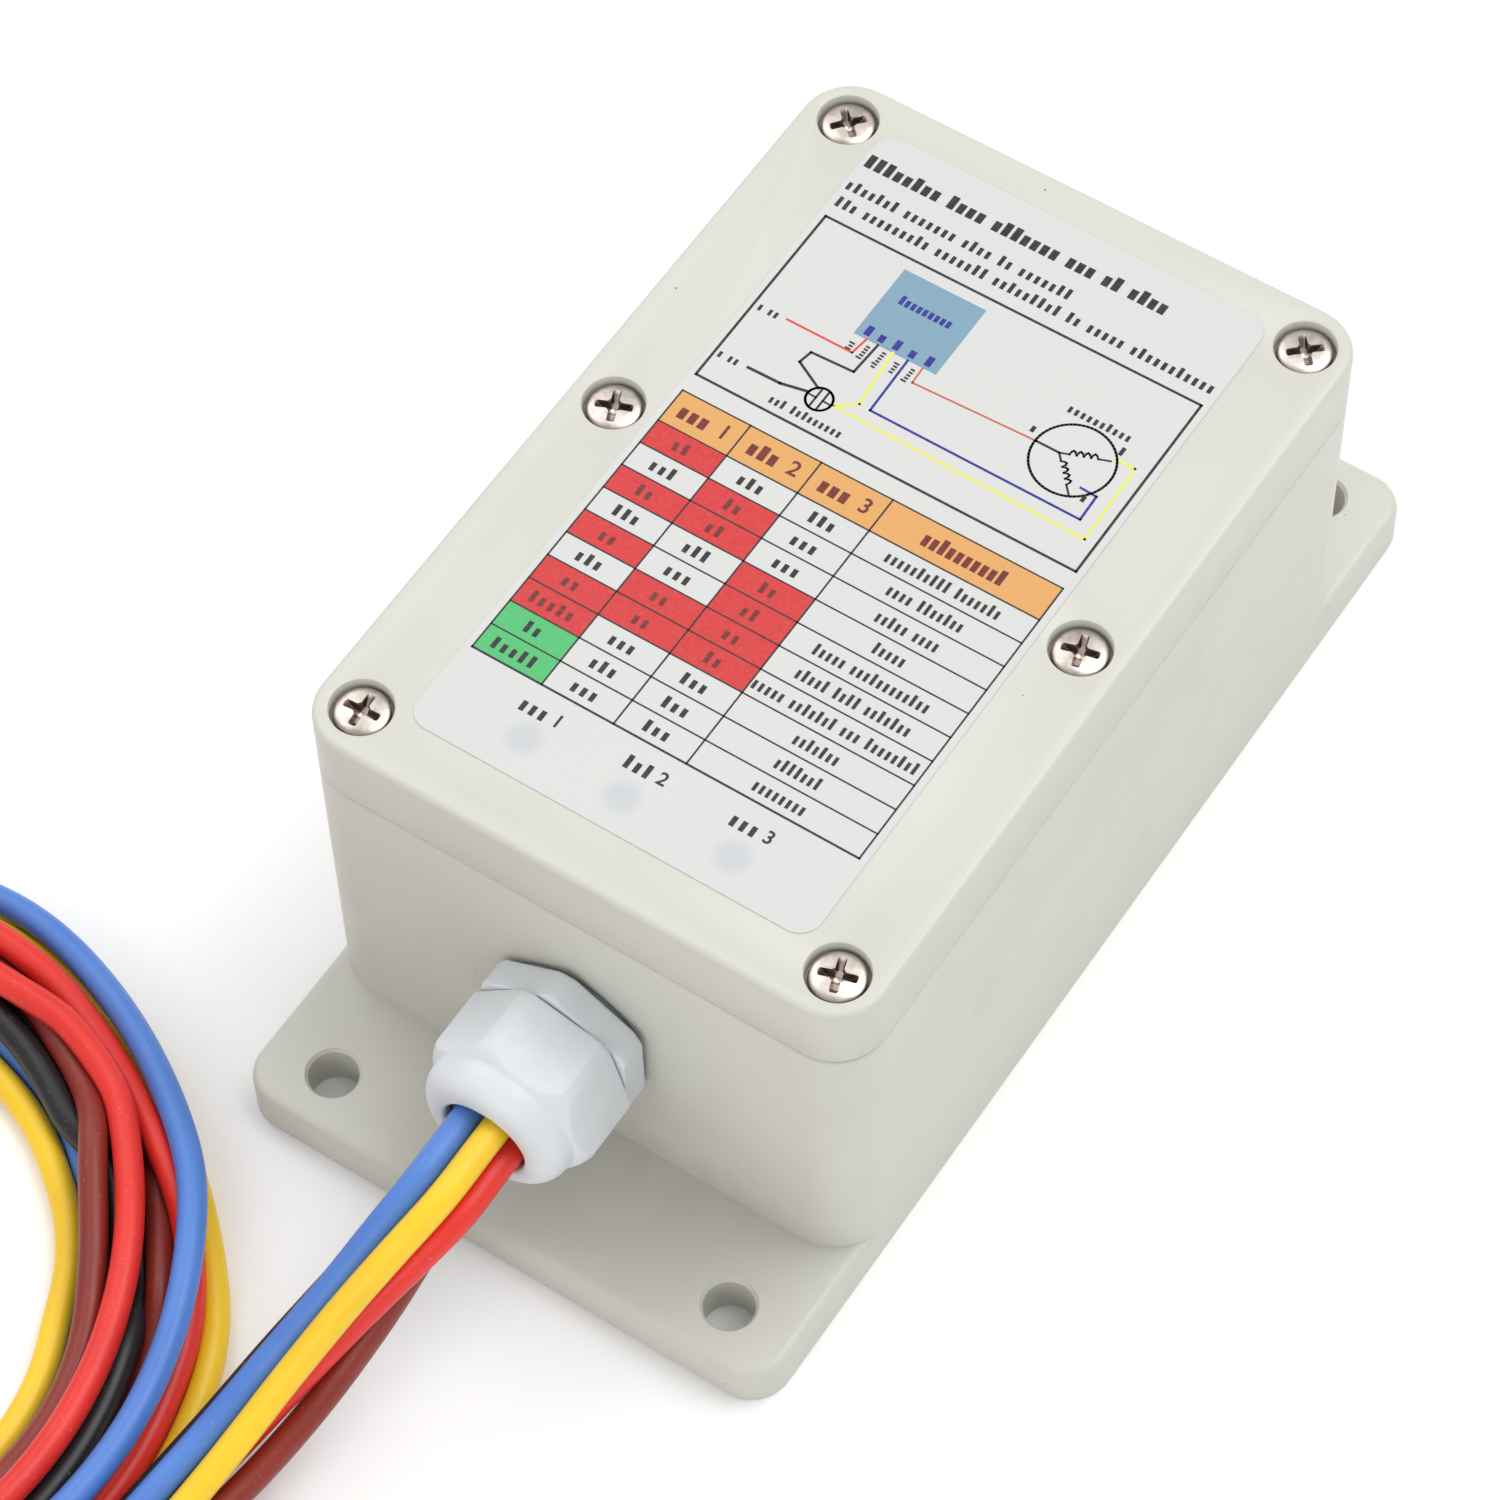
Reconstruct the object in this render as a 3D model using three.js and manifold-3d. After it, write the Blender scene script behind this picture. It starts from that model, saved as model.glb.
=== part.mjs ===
// Sealed wall box of a compressor soft starter: a grey plastic box with two screw-down ears,
// a six-screw lid, a nylon cable gland with five leads, and the circuit board inside.
// Millimetres, +Z up out of the wall, the gland on -Y, origin under the middle of the box.
import * as THREE from "three";
import { mergeVertices } from "three/addons/utils/BufferGeometryUtils.js";
import manifoldModule from "manifold-3d";

const wasm = await manifoldModule();
wasm.setup();
const { Manifold, Mesh: ManifoldMesh } = wasm;

// ---- driving dimensions -------------------------------------------------------------------
const BOX_WIDTH = 80;
const BOX_LENGTH = 120;
const BOX_HEIGHT = 64;
const BOX_CORNER = 7;
const WALL = 3;
const SEAM_HEIGHT = 53.3;            // where the lid meets the box
const LID_SKIN = 3;
const EDGE_SOFT = 1.4;               // rounding of the lid's upper edge

const EAR_LENGTH = 160;              // over both ears
const EAR_THICKNESS = 7;
const EAR_CORNER = 5.5;
const EAR_HOLE = { radius: 3.3, x: 30, y: 72.5 };

const SCREW_X = 33.8;
const SCREW_Y = 53.6;
const SCREW_PLACES = [
  [-SCREW_X, -SCREW_Y], [SCREW_X, -SCREW_Y], [-SCREW_X, 0],
  [SCREW_X, 0], [-SCREW_X, SCREW_Y], [SCREW_X, SCREW_Y],
];
const SCREW_TURNS = [4, 18, 22, 15, 48, 42];   // how far each cross happens to be turned, degrees
const WELL = { radius: 3.95, depth: 2.4 };
const SCREW = { head: 3.55, headHeight: 1.8, shank: 1.8, length: 21, clear: 0.05 };
const LID_HOLE = 2.2;
const BOSS = { radius: 4.6, top: SEAM_HEIGHT - 0.3 };
const INSERT = { outer: 2.9, bore: 2.15, length: 10 };
const TOUCH = 0.3;                   // gap left between solids that touch on round faces

const LABEL = { width: 57.4, length: 106.4, y: 1.1, corner: 3, thickness: 0.15 };
const LED_PLACES = [[-15, -47.2], [0, -47.2], [15, -47.2]];
const LED = { radius: 2.5, hole: 2.9, boardTop: 56.6 };

const GLAND = {
  z: 31, hex: 21, corner: 11.7,
  washer: 0.8, flange: 4.2, bore: 6.7, thread: 8.6, wallThread: 8.9, inside: 8.5,
  nutBack: 5.3, nutHex: 15.6, nose: 20, mouth: 5.7, turned: 45, pitch: 1.41,
};

const BOARD = { width: 57, front: -50, back: 44, under: 10.4, thickness: 1.6 };
const BOARD_TOP = BOARD.under + BOARD.thickness;
const BOARD_SCREWS = [[-24.5, -45], [24.5, -45], [-24.5, 40], [24.5, 40]];

const LEAD = { radius: 1.9, pitch: 4.1, sides: 8 };
const COIL = { x: -80, y: -133, inner: 41.5, outer: 60.8, height: 11 };

// ---- materials ----------------------------------------------------------------------------
function material(color, roughness, metalness = 0) {
  return new THREE.MeshStandardMaterial({ color, roughness, metalness });
}
const finish = {
  shell: material(0xdad9cf, 0.5), gasket: material(0x2b2b2c, 0.8), label: material(0xe8e9ea, 0.35),
  nickel: material(0xc9c3bb, 0.25, 1), brass: material(0xb88a45, 0.35, 1), nylon: material(0xdfe4e8, 0.45),
  rubber: material(0x3a3a3c, 0.85), board: material(0x1f5c3a, 0.5), green: material(0x2f8f5b, 0.5),
  black: material(0x1c1c1e, 0.5), white: material(0xdfe0dc, 0.5), blueCase: material(0x2d5aa8, 0.45),
  ceramic: material(0x2f62a5, 0.5), yellowCase: material(0xd9b83c, 0.5), aluminium: material(0xa9adb0, 0.35, 1),
  glass: material(0xd8e2df, 0.1), lens: material(0xdfe7e4, 0.2),
};
const LEAD_COLOURS = { blue: 0x4a78c8, yellow: 0xf0cb30, red: 0xdd3226, black: 0x1d1e20, brown: 0x74271f };

// ---- solids -------------------------------------------------------------------------------
function toManifold(geometry) {
  const bare = geometry.clone();
  bare.deleteAttribute("normal");
  bare.deleteAttribute("uv");
  const merged = mergeVertices(bare, 1e-4);
  return new Manifold(new ManifoldMesh({
    numProp: 3,
    vertProperties: new Float32Array(merged.attributes.position.array),
    triVerts: new Uint32Array(merged.index.array),
  }));
}

function toGeometry(solid) {
  const mesh = solid.getMesh();
  const geometry = new THREE.BufferGeometry();
  geometry.setAttribute("position", new THREE.BufferAttribute(new Float32Array(mesh.vertProperties), 3));
  geometry.setIndex(new THREE.BufferAttribute(new Uint32Array(mesh.triVerts), 1));
  geometry.computeVertexNormals();
  return geometry;
}

function block([x0, x1], [y0, y1], [z0, z1]) {
  return Manifold.cube([x1 - x0, y1 - y0, z1 - z0]).translate([x0, y0, z0]);
}

// A round bar standing on z0, centred on x, y.
function post(x, y, z0, z1, radius, sides = 16) {
  return Manifold.cylinder(z1 - z0, radius, -1, sides).translate([x, y, z0]);
}

// A solid turned about Z from [radius, height] points.
function turned(points, sides = 24) {
  return Manifold.revolve([points], sides);
}

// A closed solid through round-cornered rectangles [z, width, length, radius], lowest first.
function stack(levels, steps = 6) {
  const outline = (width, length, radius) => {
    const points = [];
    for (let corner = 0; corner < 4; corner++) {
      const sx = corner === 0 || corner === 3 ? 1 : -1;
      const sy = corner < 2 ? 1 : -1;
      for (let i = 0; i <= steps; i++) {
        const angle = (corner + i / steps) * Math.PI / 2;
        points.push([sx * (width / 2 - radius) + radius * Math.cos(angle),
          sy * (length / 2 - radius) + radius * Math.sin(angle)]);
      }
    }
    return points;
  };
  const positions = [];
  const triangles = [];
  const n = 4 * (steps + 1);
  levels.forEach(([z, width, length, radius], k) => {
    for (const [x, y] of outline(width, length, radius)) positions.push(x, y, z);
    if (k === 0) return;
    for (let i = 0; i < n; i++) {
      const a = (k - 1) * n + i, b = (k - 1) * n + (i + 1) % n;
      triangles.push(a, b, b + n, a, b + n, a + n);
    }
  });
  const top = (levels.length - 1) * n;
  for (let i = 1; i < n - 1; i++) triangles.push(0, i + 1, i, top, top + i, top + i + 1);
  const geometry = new THREE.BufferGeometry();
  geometry.setAttribute("position", new THREE.Float32BufferAttribute(positions, 3));
  geometry.setIndex(triangles);
  return toManifold(geometry);
}

// The levels of a box with straight sides and a rounded upper edge.
function softTop(width, length, radius, z0, z1, soft, steps = 3) {
  const levels = [[z0, width, length, radius]];
  for (let i = 0; i <= steps; i++) {
    const angle = (i / steps) * Math.PI / 2;
    const inset = soft * (1 - Math.cos(angle));
    levels.push([z1 - soft * (1 - Math.sin(angle)), width - 2 * inset, length - 2 * inset, radius - inset]);
  }
  return levels;
}

function hexagon(across, z0, z1, degrees) {
  return Manifold.cylinder(z1 - z0, across / Math.sqrt(3), -1, 6).rotate([0, 0, degrees]).translate([0, 0, z0]);
}

// Gland pieces are turned about Z, nose up, then laid along -Y on the gland's axis in the front wall.
function onGland(solid) {
  return solid.rotate([90, 0, 0]).translate([0, -BOX_LENGTH / 2, GLAND.z]);
}

// ---- the tree -----------------------------------------------------------------------------
const group = new THREE.Group();
group.name = "soft_starter_box";

function add(name, solid, finishName, parent = group) {
  const geometry = solid.isBufferGeometry ? solid : toGeometry(solid);
  const mesh = new THREE.Mesh(geometry, finishName.isMaterial ? finishName : finish[finishName]);
  mesh.name = name;
  parent.add(mesh);
  return mesh;
}

// ---- box ----------------------------------------------------------------------------------
function makeBase() {
  let base = stack([[0, BOX_WIDTH, BOX_LENGTH, BOX_CORNER], [SEAM_HEIGHT, BOX_WIDTH, BOX_LENGTH, BOX_CORNER]]);
  base = base.add(stack(softTop(BOX_WIDTH, EAR_LENGTH, EAR_CORNER, 0, EAR_THICKNESS, 1.2)));
  const inner = [BOX_WIDTH - 2 * WALL, BOX_LENGTH - 2 * WALL, BOX_CORNER - WALL];
  base = base.subtract(stack([[WALL, ...inner], [SEAM_HEIGHT + 1, ...inner]], 3));

  for (const [x, y] of SCREW_PLACES) base = base.add(post(x, y, WALL - 0.5, BOSS.top, BOSS.radius));
  // The bosses may not stand out of the round corners.
  base = base.intersect(stack([[0, BOX_WIDTH, BOX_LENGTH, BOX_CORNER], [SEAM_HEIGHT, BOX_WIDTH, BOX_LENGTH, BOX_CORNER]])
    .add(stack(softTop(BOX_WIDTH, EAR_LENGTH, EAR_CORNER, 0, EAR_THICKNESS, 1.2))));
  for (const [x, y] of SCREW_PLACES) {
    base = base.subtract(post(x, y, BOSS.top - INSERT.length, SEAM_HEIGHT + 1, INSERT.outer + TOUCH));
    base = base.subtract(post(x, y, BOSS.top - 22, BOSS.top, INSERT.bore, 12));
  }
  for (const sx of [-1, 1]) for (const sy of [-1, 1]) {
    base = base.subtract(post(sx * EAR_HOLE.x, sy * EAR_HOLE.y, -1, EAR_THICKNESS + 1, EAR_HOLE.radius, 24));
  }
  for (const [x, y] of BOARD_SCREWS) {
    base = base.add(post(x, y, WALL - 0.5, BOARD.under, 3.5, 12));
    base = base.subtract(post(x, y, WALL + 1, BOARD.under + 1, 1.4, 8));
  }
  base = base.subtract(onGland(Manifold.cylinder(20, GLAND.wallThread + 0.4, -1, 24).translate([0, 0, -10])));
  return base;
}
add("base_box", makeBase(), "shell");

for (let i = 0; i < SCREW_PLACES.length; i++) {
  const [x, y] = SCREW_PLACES[i];
  const insert = post(x, y, BOSS.top - INSERT.length, BOSS.top - 0.2, INSERT.outer)
    .subtract(post(x, y, 0, SEAM_HEIGHT, INSERT.bore));
  add(`boss_insert_${i + 1}`, insert, "brass");
}

// ---- lid ----------------------------------------------------------------------------------
const lidGroup = new THREE.Group();
lidGroup.name = "lid_group";
group.add(lidGroup);

function makeLid() {
  const ceiling = BOX_HEIGHT - LID_SKIN;
  let lid = stack(softTop(BOX_WIDTH, BOX_LENGTH, BOX_CORNER, SEAM_HEIGHT, BOX_HEIGHT, EDGE_SOFT));
  const outer = lid;
  const inner = [BOX_WIDTH - 2 * WALL, BOX_LENGTH - 2 * WALL, BOX_CORNER - WALL];
  lid = lid.subtract(stack([[SEAM_HEIGHT - 1, ...inner], [ceiling, ...inner]], 3));
  for (const [x, y] of SCREW_PLACES) lid = lid.add(post(x, y, SEAM_HEIGHT, ceiling + 1, BOSS.radius).intersect(outer));
  for (const x of [-20, 20]) lid = lid.add(post(x, LED_PLACES[0][1], LED.boardTop, ceiling + 1, 2, 8));
  // Groove for the gasket in the lid's rim.
  const groove = (inset, z0, z1) => stack([[z0, BOX_WIDTH - 2 * inset, BOX_LENGTH - 2 * inset, BOX_CORNER - inset],
    [z1, BOX_WIDTH - 2 * inset, BOX_LENGTH - 2 * inset, BOX_CORNER - inset]], 4);
  lid = lid.subtract(groove(0.8, SEAM_HEIGHT - 1, SEAM_HEIGHT + 1.4).subtract(groove(2.3, SEAM_HEIGHT - 2, SEAM_HEIGHT + 2)));
  for (const [x, y] of SCREW_PLACES) {
    lid = lid.subtract(post(x, y, BOX_HEIGHT - WELL.depth, BOX_HEIGHT + 1, WELL.radius, 24));
    lid = lid.subtract(post(x, y, SEAM_HEIGHT - 1, BOX_HEIGHT, LID_HOLE, 12));
  }
  for (const [x, y] of LED_PLACES) lid = lid.subtract(post(x, y, ceiling - 1, BOX_HEIGHT + 1, LED.hole, 12));
  return lid;
}
add("lid", makeLid(), "shell", lidGroup);

function gasketLevels(inset, z0, z1) {
  return [z0, z1].map((z) => [z, BOX_WIDTH - 2 * inset, BOX_LENGTH - 2 * inset, BOX_CORNER - inset]);
}
add("lid_gasket", stack(gasketLevels(0.95, SEAM_HEIGHT, SEAM_HEIGHT + 1.3), 4)
  .subtract(stack(gasketLevels(2.15, SEAM_HEIGHT - 1, SEAM_HEIGHT + 3), 4)), "gasket", lidGroup);

add("label_sheet", stack([BOX_HEIGHT, BOX_HEIGHT + LABEL.thickness]
  .map((z) => [z, LABEL.width, LABEL.length, LABEL.corner]), 5).translate([0, LABEL.y, 0]), "label", lidGroup);

// A pan-head screw with a cross recess, its head's underside at z = 0.
function makeScrew() {
  const { head, headHeight, shank, length } = SCREW;
  let screw = turned([[0, -length], [shank - 0.5, -length], [shank, -length + 1], [shank, 0], [head, 0],
    [head, headHeight * 0.45], [head * 0.82, headHeight * 0.85], [head * 0.5, headHeight], [0, headHeight]], 16);
  for (const turn of [0, 90]) {
    screw = screw.subtract(block([-2, 2], [-0.45, 0.45], [headHeight - 1.1, headHeight + 1]).rotate([0, 0, turn]));
  }
  return screw;
}
SCREW_PLACES.forEach(([x, y], i) => {
  const screw = makeScrew().rotate([0, 0, SCREW_TURNS[i]]).translate([0, 0, SCREW.clear]);
  const mesh = add(`lid_screw_${i + 1}`, screw, "nickel", lidGroup);
  mesh.position.set(x, y, BOX_HEIGHT - WELL.depth);
});

// ---- status lamps under the lid -------------------------------------------------------------
add("led_board", block([-22, 22], [-51.2, -43.2], [LED.boardTop - 1.6, LED.boardTop]), "board", lidGroup);
LED_PLACES.forEach(([x, y], i) => {
  const profile = [[0, 0], [LED.radius + 0.3, 0], [LED.radius + 0.3, 1], [LED.radius, 1]];
  for (let k = 0; k <= 3; k++) {
    const angle = (k / 3) * Math.PI / 2;
    profile.push([k === 3 ? 0 : LED.radius * Math.cos(angle), 4.6 + 2.4 * Math.sin(angle)]);
  }
  add(`led_${i + 1}`, turned(profile, 10).translate([x, y, LED.boardTop]), "lens", lidGroup);
});

// ---- cable gland ----------------------------------------------------------------------------
const g = GLAND;
add("gland_washer", onGland(turned([[g.wallThread + TOUCH, 0], [9.9, 0], [9.9, g.washer], [g.wallThread + TOUCH, g.washer]])), "rubber");

function makeGlandBody() {
  const hexStart = g.washer, hexEnd = g.washer + g.flange;
  const round = turned([[0, hexStart], [g.corner - 0.5, hexStart], [g.corner, hexStart + 0.5],
    [g.corner, hexEnd - 0.9], [g.corner - 1.6, hexEnd], [0, hexEnd]], 30);
  let body = hexagon(g.hex, hexStart, hexEnd, 30).intersect(round);
  body = body.add(Manifold.cylinder(g.inside + hexStart + 0.5, g.wallThread, -1, 24).translate([0, 0, -g.inside]));
  body = body.add(Manifold.cylinder(9, g.thread, -1, 24).translate([0, 0, hexEnd - 0.5]));
  return body.subtract(Manifold.cylinder(60, g.bore, -1, 24).translate([0, 0, -30]));
}
add("gland_body", onGland(makeGlandBody()), "nylon");

add("gland_locknut", onGland(hexagon(22, -WALL - 4.5, -WALL, 30)
  .subtract(Manifold.cylinder(20, g.wallThread + TOUCH, -1, 24).translate([0, 0, -15]))), "nylon");

function makeCage() {
  const foot = g.washer + g.flange + 8.5;
  let cage = turned([[g.bore, foot], [7.9, foot], [7.9, foot + 0.8], [7.1, 16.6], [g.bore - 0.1, 16.6]]);
  for (let i = 0; i < 8; i++) {
    cage = cage.subtract(block([5, 9], [-0.5, 0.5], [foot + 0.8, 18]).rotate([0, 0, i * 45 + 22.5]));
  }
  return cage;
}
add("gland_cage", onGland(makeCage()), "nylon");
add("gland_seal", onGland(turned([[g.mouth, 5], [g.bore - TOUCH, 5], [g.bore - TOUCH, 17], [g.mouth, 17]])), "rubber");

const clampGroup = new THREE.Group();
clampGroup.name = "gland_clamp";
group.add(clampGroup);
add("gland_press_ring", onGland(turned([[g.mouth + 0.1, 17.2], [7.1, 17.2], [6.9, 17.9], [g.mouth + 0.1, 17.9]])), "nylon", clampGroup);

function makeNut() {
  const back = g.nutBack, end = g.nutHex, nose = g.nose;
  const round = [[0, back], [g.corner - 0.9, back], [g.corner, back + 0.9], [g.corner, end - 1.1], [g.corner - 1.6, end], [10.1, end]];
  for (let k = 1; k <= 4; k++) {
    const angle = (k / 4) * Math.PI / 2;
    round.push([7.2 + 2.9 * Math.cos(angle), end + 0.6 + (nose - end - 0.6) * Math.sin(angle)]);
  }
  round.push([0, nose]);
  const dome = Manifold.cylinder(nose - end + 0.2, 10.15, -1, 30).translate([0, 0, end - 0.2]);
  const outside = hexagon(g.hex, back, end, g.turned).add(dome).intersect(turned(round, 30));
  return outside.subtract(turned([[0, back - 1], [g.thread + 0.4, back - 1], [g.thread + 0.4, 14.4],
    [7.4, 18.2], [g.mouth, 18.4], [g.mouth, nose - 0.5], [g.mouth + 0.5, nose + 0.1], [0, nose + 0.1]], 24));
}
add("gland_nut", onGland(makeNut()), "nylon", clampGroup);

// ---- leads ----------------------------------------------------------------------------------
// Each lead's place in the bundle, [right, up] in millimetres: round in the gland, then as it lies on the floor.
const LEAD_PLACES = {
  blue: [[-2.47, 2.47], [-2.3, 2.4], [-2.1, 2.3], [-1.05, 1.75]],
  yellow: [[1.58, 3.11], [1.8, 2.8], [2.05, 2.35], [3.1, 1.75]],
  red: [[3.45, -0.55], [3.25, -1.15], [1.95, -1.85], [1.05, -1.8]],
  black: [[-3.11, -1.58], [-2.85, -1.75], [-2.5, -1.9], [-3.1, -1.8]],
  brown: [[0.55, -3.45], [1.25, -5.4], [4.8, -5.2], [5.3, -1.8]],
};
// The bundle's middle line: [x, y, z, which places the leads have].
const BUNDLE_ROUTE = [ // [x, y, z, stage]
  [0, -66.3, 31, 0], [0, -74, 31, 0], [0, -82, 31, 0], [0, -89.5, 30.8, 0], [-1.1, -96, 27.6, 1],
  [-3.1, -103.5, 22, 2], [-5.4, -112.5, 15.4, 2], [-8.1, -121.8, 11.2, 3], [-11.2, -131.7, 8.8, 3],
  [-13.3, -143, 7.4, 3], [-15.2, -157, 5.3, 3], [-21, -172, 4, 3], [-31.5, -184.5, 4, 3],
  [-46, -193.5, 4, 3], [-62.5, -198, 4, 3], [-80, -199.2, 4, 3],
];
// The leads inside the box: [y, z, how far each keeps its sideways place, and its height, in the bundle].
const INNER_MIDDLE = [[-65.9, 31, 1, 1], [-56, 31, 1, 1], [-51, 31, 0.96, 1], [-45, 30.4, 0.5, 0.9], [-37.5, 26, 0.12, 0.4], [-30, 20.2, 0, 0], [-24.3, 18.4, 0, 0]];
const TERMINAL_ORDER = ["black", "blue", "brown", "yellow", "red"];
const TERMINAL_PITCH = 7.62;

function tube(points, steps) {
  const section = new THREE.Shape();
  for (let i = 0; i < LEAD.sides; i++) {
    const angle = (i / LEAD.sides) * 2 * Math.PI;
    section[i ? "lineTo" : "moveTo"](LEAD.radius * Math.cos(angle), LEAD.radius * Math.sin(angle));
  }
  section.closePath();
  const path = new THREE.CatmullRomCurve3(points, false, "centripetal");
  const geometry = new THREE.ExtrudeGeometry(section, { steps, bevelEnabled: false, extrudePath: path });
  return toManifold(geometry);
}

function leadRoute(colour) {
  const middle = BUNDLE_ROUTE.map(([x, y, z]) => new THREE.Vector3(x, y, z));
  return middle.map((point, i) => {
    const along = middle[Math.min(i + 1, middle.length - 1)].clone().sub(middle[Math.max(i - 1, 0)]).normalize();
    const right = new THREE.Vector3(-along.y, along.x, 0).normalize();
    const up = along.clone().cross(right);
    const [across, above] = LEAD_PLACES[colour][BUNDLE_ROUTE[i][3]];
    return point.clone().addScaledVector(right, across).addScaledVector(up, above);
  });
}

for (const colour of Object.keys(LEAD_COLOURS)) {
  const paint = material(LEAD_COLOURS[colour], 0.55);
  add(`lead_${colour}`, tube(leadRoute(colour), 24), paint);
  const [right, up] = LEAD_PLACES[colour][0];
  const slot = (TERMINAL_ORDER.indexOf(colour) - 2) * TERMINAL_PITCH;
  const inner = INNER_MIDDLE.map(([y, z, side, height]) =>
    new THREE.Vector3(right * side + slot * (1 - side), y, z + up * height));
  add(`inner_lead_${colour}`, tube(inner, 11), paint);
}

add("lead_coil", turned([[COIL.inner, 1], [COIL.inner + 1, 0.2], [COIL.outer - 1, 0.2], [COIL.outer, 1],
  [COIL.outer, COIL.height - 2], [COIL.outer - 2, COIL.height], [COIL.inner + 2, COIL.height], [COIL.inner, COIL.height - 2]], 32)
  .translate([COIL.x, COIL.y, 0]), material(LEAD_COLOURS.red, 0.55));

// ---- circuit board ----------------------------------------------------------------------------
let board = block([-BOARD.width / 2, BOARD.width / 2], [BOARD.front, BOARD.back], [BOARD.under, BOARD_TOP]);
for (const [x, y] of BOARD_SCREWS) board = board.subtract(post(x, y, 0, 30, 1.8, 12));
add("circuit_board", board, "board");
BOARD_SCREWS.forEach(([x, y], i) => {
  const screw = turned([[0, -5], [1.1, -5], [1.1, 0], [2.6, 0], [2.6, 1], [1.8, 1.7], [0, 1.7]], 8)
    .subtract(block([-3, 3], [-0.35, 0.35], [0.9, 2]));
  add(`board_screw_${i + 1}`, screw.translate([x, y, BOARD_TOP]), "nickel");
});

function onBoard([x0, x1], [y0, y1], height) {
  return block([x0, x1], [y0, y1], [BOARD_TOP, BOARD_TOP + height]);
}

let terminal = onBoard([-19.4, 19.4], [-24, -13], 13).subtract(block([-20, 20], [-25, -20.5], [BOARD_TOP + 10, 40]));
for (let i = -2; i <= 2; i++) {
  terminal = terminal.subtract(post(i * TERMINAL_PITCH, -16.6, BOARD_TOP + 7.5, 40, 2, 12));
  terminal = terminal.subtract(block([-2, 2], [-26, -23], [16, 20.6]).translate([i * TERMINAL_PITCH, 0, 0]));
}
add("terminal_block", terminal, "green");

add("run_relay", onBoard([-27, -3], [-8, 20], 20.5), "black");
add("start_relay", onBoard([3, 19], [-8, 11.5], 15.5), "blueCase");
add("start_capacitor", turned([[0, 0], [12.5, 0], [12.5, 2], [12, 2.6], [12.5, 3.2], [12.5, 37.4], [11.9, 38], [0, 38]], 18)
  .translate([13.5, 27, BOARD_TOP]), "black");

let sink = onBoard([-27, -3], [26.8, 36.8], 24);
for (let i = 0; i < 5; i++) sink = sink.subtract(block([-24.6 + i * 4.4, -21.8 + i * 4.4], [29.3, 38], [BOARD_TOP - 1, 40]));
add("heatsink", sink, "aluminium");
let triac = block([-22.8, -7.2], [22.1, 26.8], [BOARD_TOP + 3, BOARD_TOP + 22]);
for (const x of [-20, -15, -10]) triac = triac.add(block([x - 0.6, x + 0.6], [24, 25], [BOARD_TOP, BOARD_TOP + 4]));
add("triac", triac, "black");

add("power_module", onBoard([21.2, 27.6], [-8, 11.5], 14), "white");
add("current_sensor", onBoard([-27.5, -20.5], [-21.5, -9], 15), "yellowCase");
add("fuse", Manifold.cylinder(18, 2.6, -1, 16).rotate([90, 0, 0]).translate([-24.3, -23, BOARD_TOP + 2.6]), "glass");
add("varistor", Manifold.cylinder(4, 7, -1, 20).rotate([0, 90, 0]).translate([23, -31, BOARD_TOP + 8.5])
  .add(block([24.4, 25.6], [-35.6, -34.4], [BOARD_TOP, BOARD_TOP + 6])).add(block([24.4, 25.6], [-27.6, -26.4], [BOARD_TOP, BOARD_TOP + 6])), "ceramic");
add("film_capacitor", onBoard([21.4, 27.4], [-22, -10.5], 11), "yellowCase");
add("microcontroller", onBoard([-5, 5], [-40, -30], 1.6), "black");

export default group;
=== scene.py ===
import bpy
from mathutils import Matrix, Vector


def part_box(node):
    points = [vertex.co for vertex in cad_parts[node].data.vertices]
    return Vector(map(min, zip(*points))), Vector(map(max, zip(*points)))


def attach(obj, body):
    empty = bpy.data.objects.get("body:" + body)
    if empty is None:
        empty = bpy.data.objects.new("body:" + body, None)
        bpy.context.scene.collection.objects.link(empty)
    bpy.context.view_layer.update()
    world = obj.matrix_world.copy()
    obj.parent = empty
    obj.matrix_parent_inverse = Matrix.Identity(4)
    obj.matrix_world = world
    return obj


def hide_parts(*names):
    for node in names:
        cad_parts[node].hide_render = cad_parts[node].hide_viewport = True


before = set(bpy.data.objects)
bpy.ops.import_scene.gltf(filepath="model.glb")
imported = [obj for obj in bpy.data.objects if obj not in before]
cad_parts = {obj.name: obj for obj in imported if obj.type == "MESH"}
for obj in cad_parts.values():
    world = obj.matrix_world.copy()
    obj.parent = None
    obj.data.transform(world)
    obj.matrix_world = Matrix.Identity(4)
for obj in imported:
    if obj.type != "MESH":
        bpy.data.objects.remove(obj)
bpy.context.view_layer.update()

import math
import random

import bmesh
import bpy
import numpy as np
from mathutils import Matrix, Vector

MM = 0.001


def shown(name, data):
    """A new object with that data, in the scene."""
    made = bpy.data.objects.new(name, data)
    bpy.context.scene.collection.objects.link(made)
    return made


# ---- camera ---------------------------------------------------------------------------------
# A long lens above the front left of the box, turned a little about its own line of sight.
CAMERA_PLACE = Vector((0.2015, -0.3121, 0.5886))
CAMERA_LOOK = Vector((-0.3090, 0.4459, -0.8400))
CAMERA_ROLL = math.radians(-1.63)
CAMERA_LENS = 126.6

camera_data = bpy.data.cameras.new("camera")
camera_data.lens = CAMERA_LENS
camera_data.sensor_width = 36
camera_data.clip_start = 0.01
camera = shown("camera", camera_data)
camera_turn = CAMERA_LOOK.to_track_quat("-Z", "Y").to_matrix() @ Matrix.Rotation(CAMERA_ROLL, 3, "Z")
camera.matrix_world = Matrix.Translation(CAMERA_PLACE) @ camera_turn.to_4x4()
bpy.context.scene.camera = camera

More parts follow.
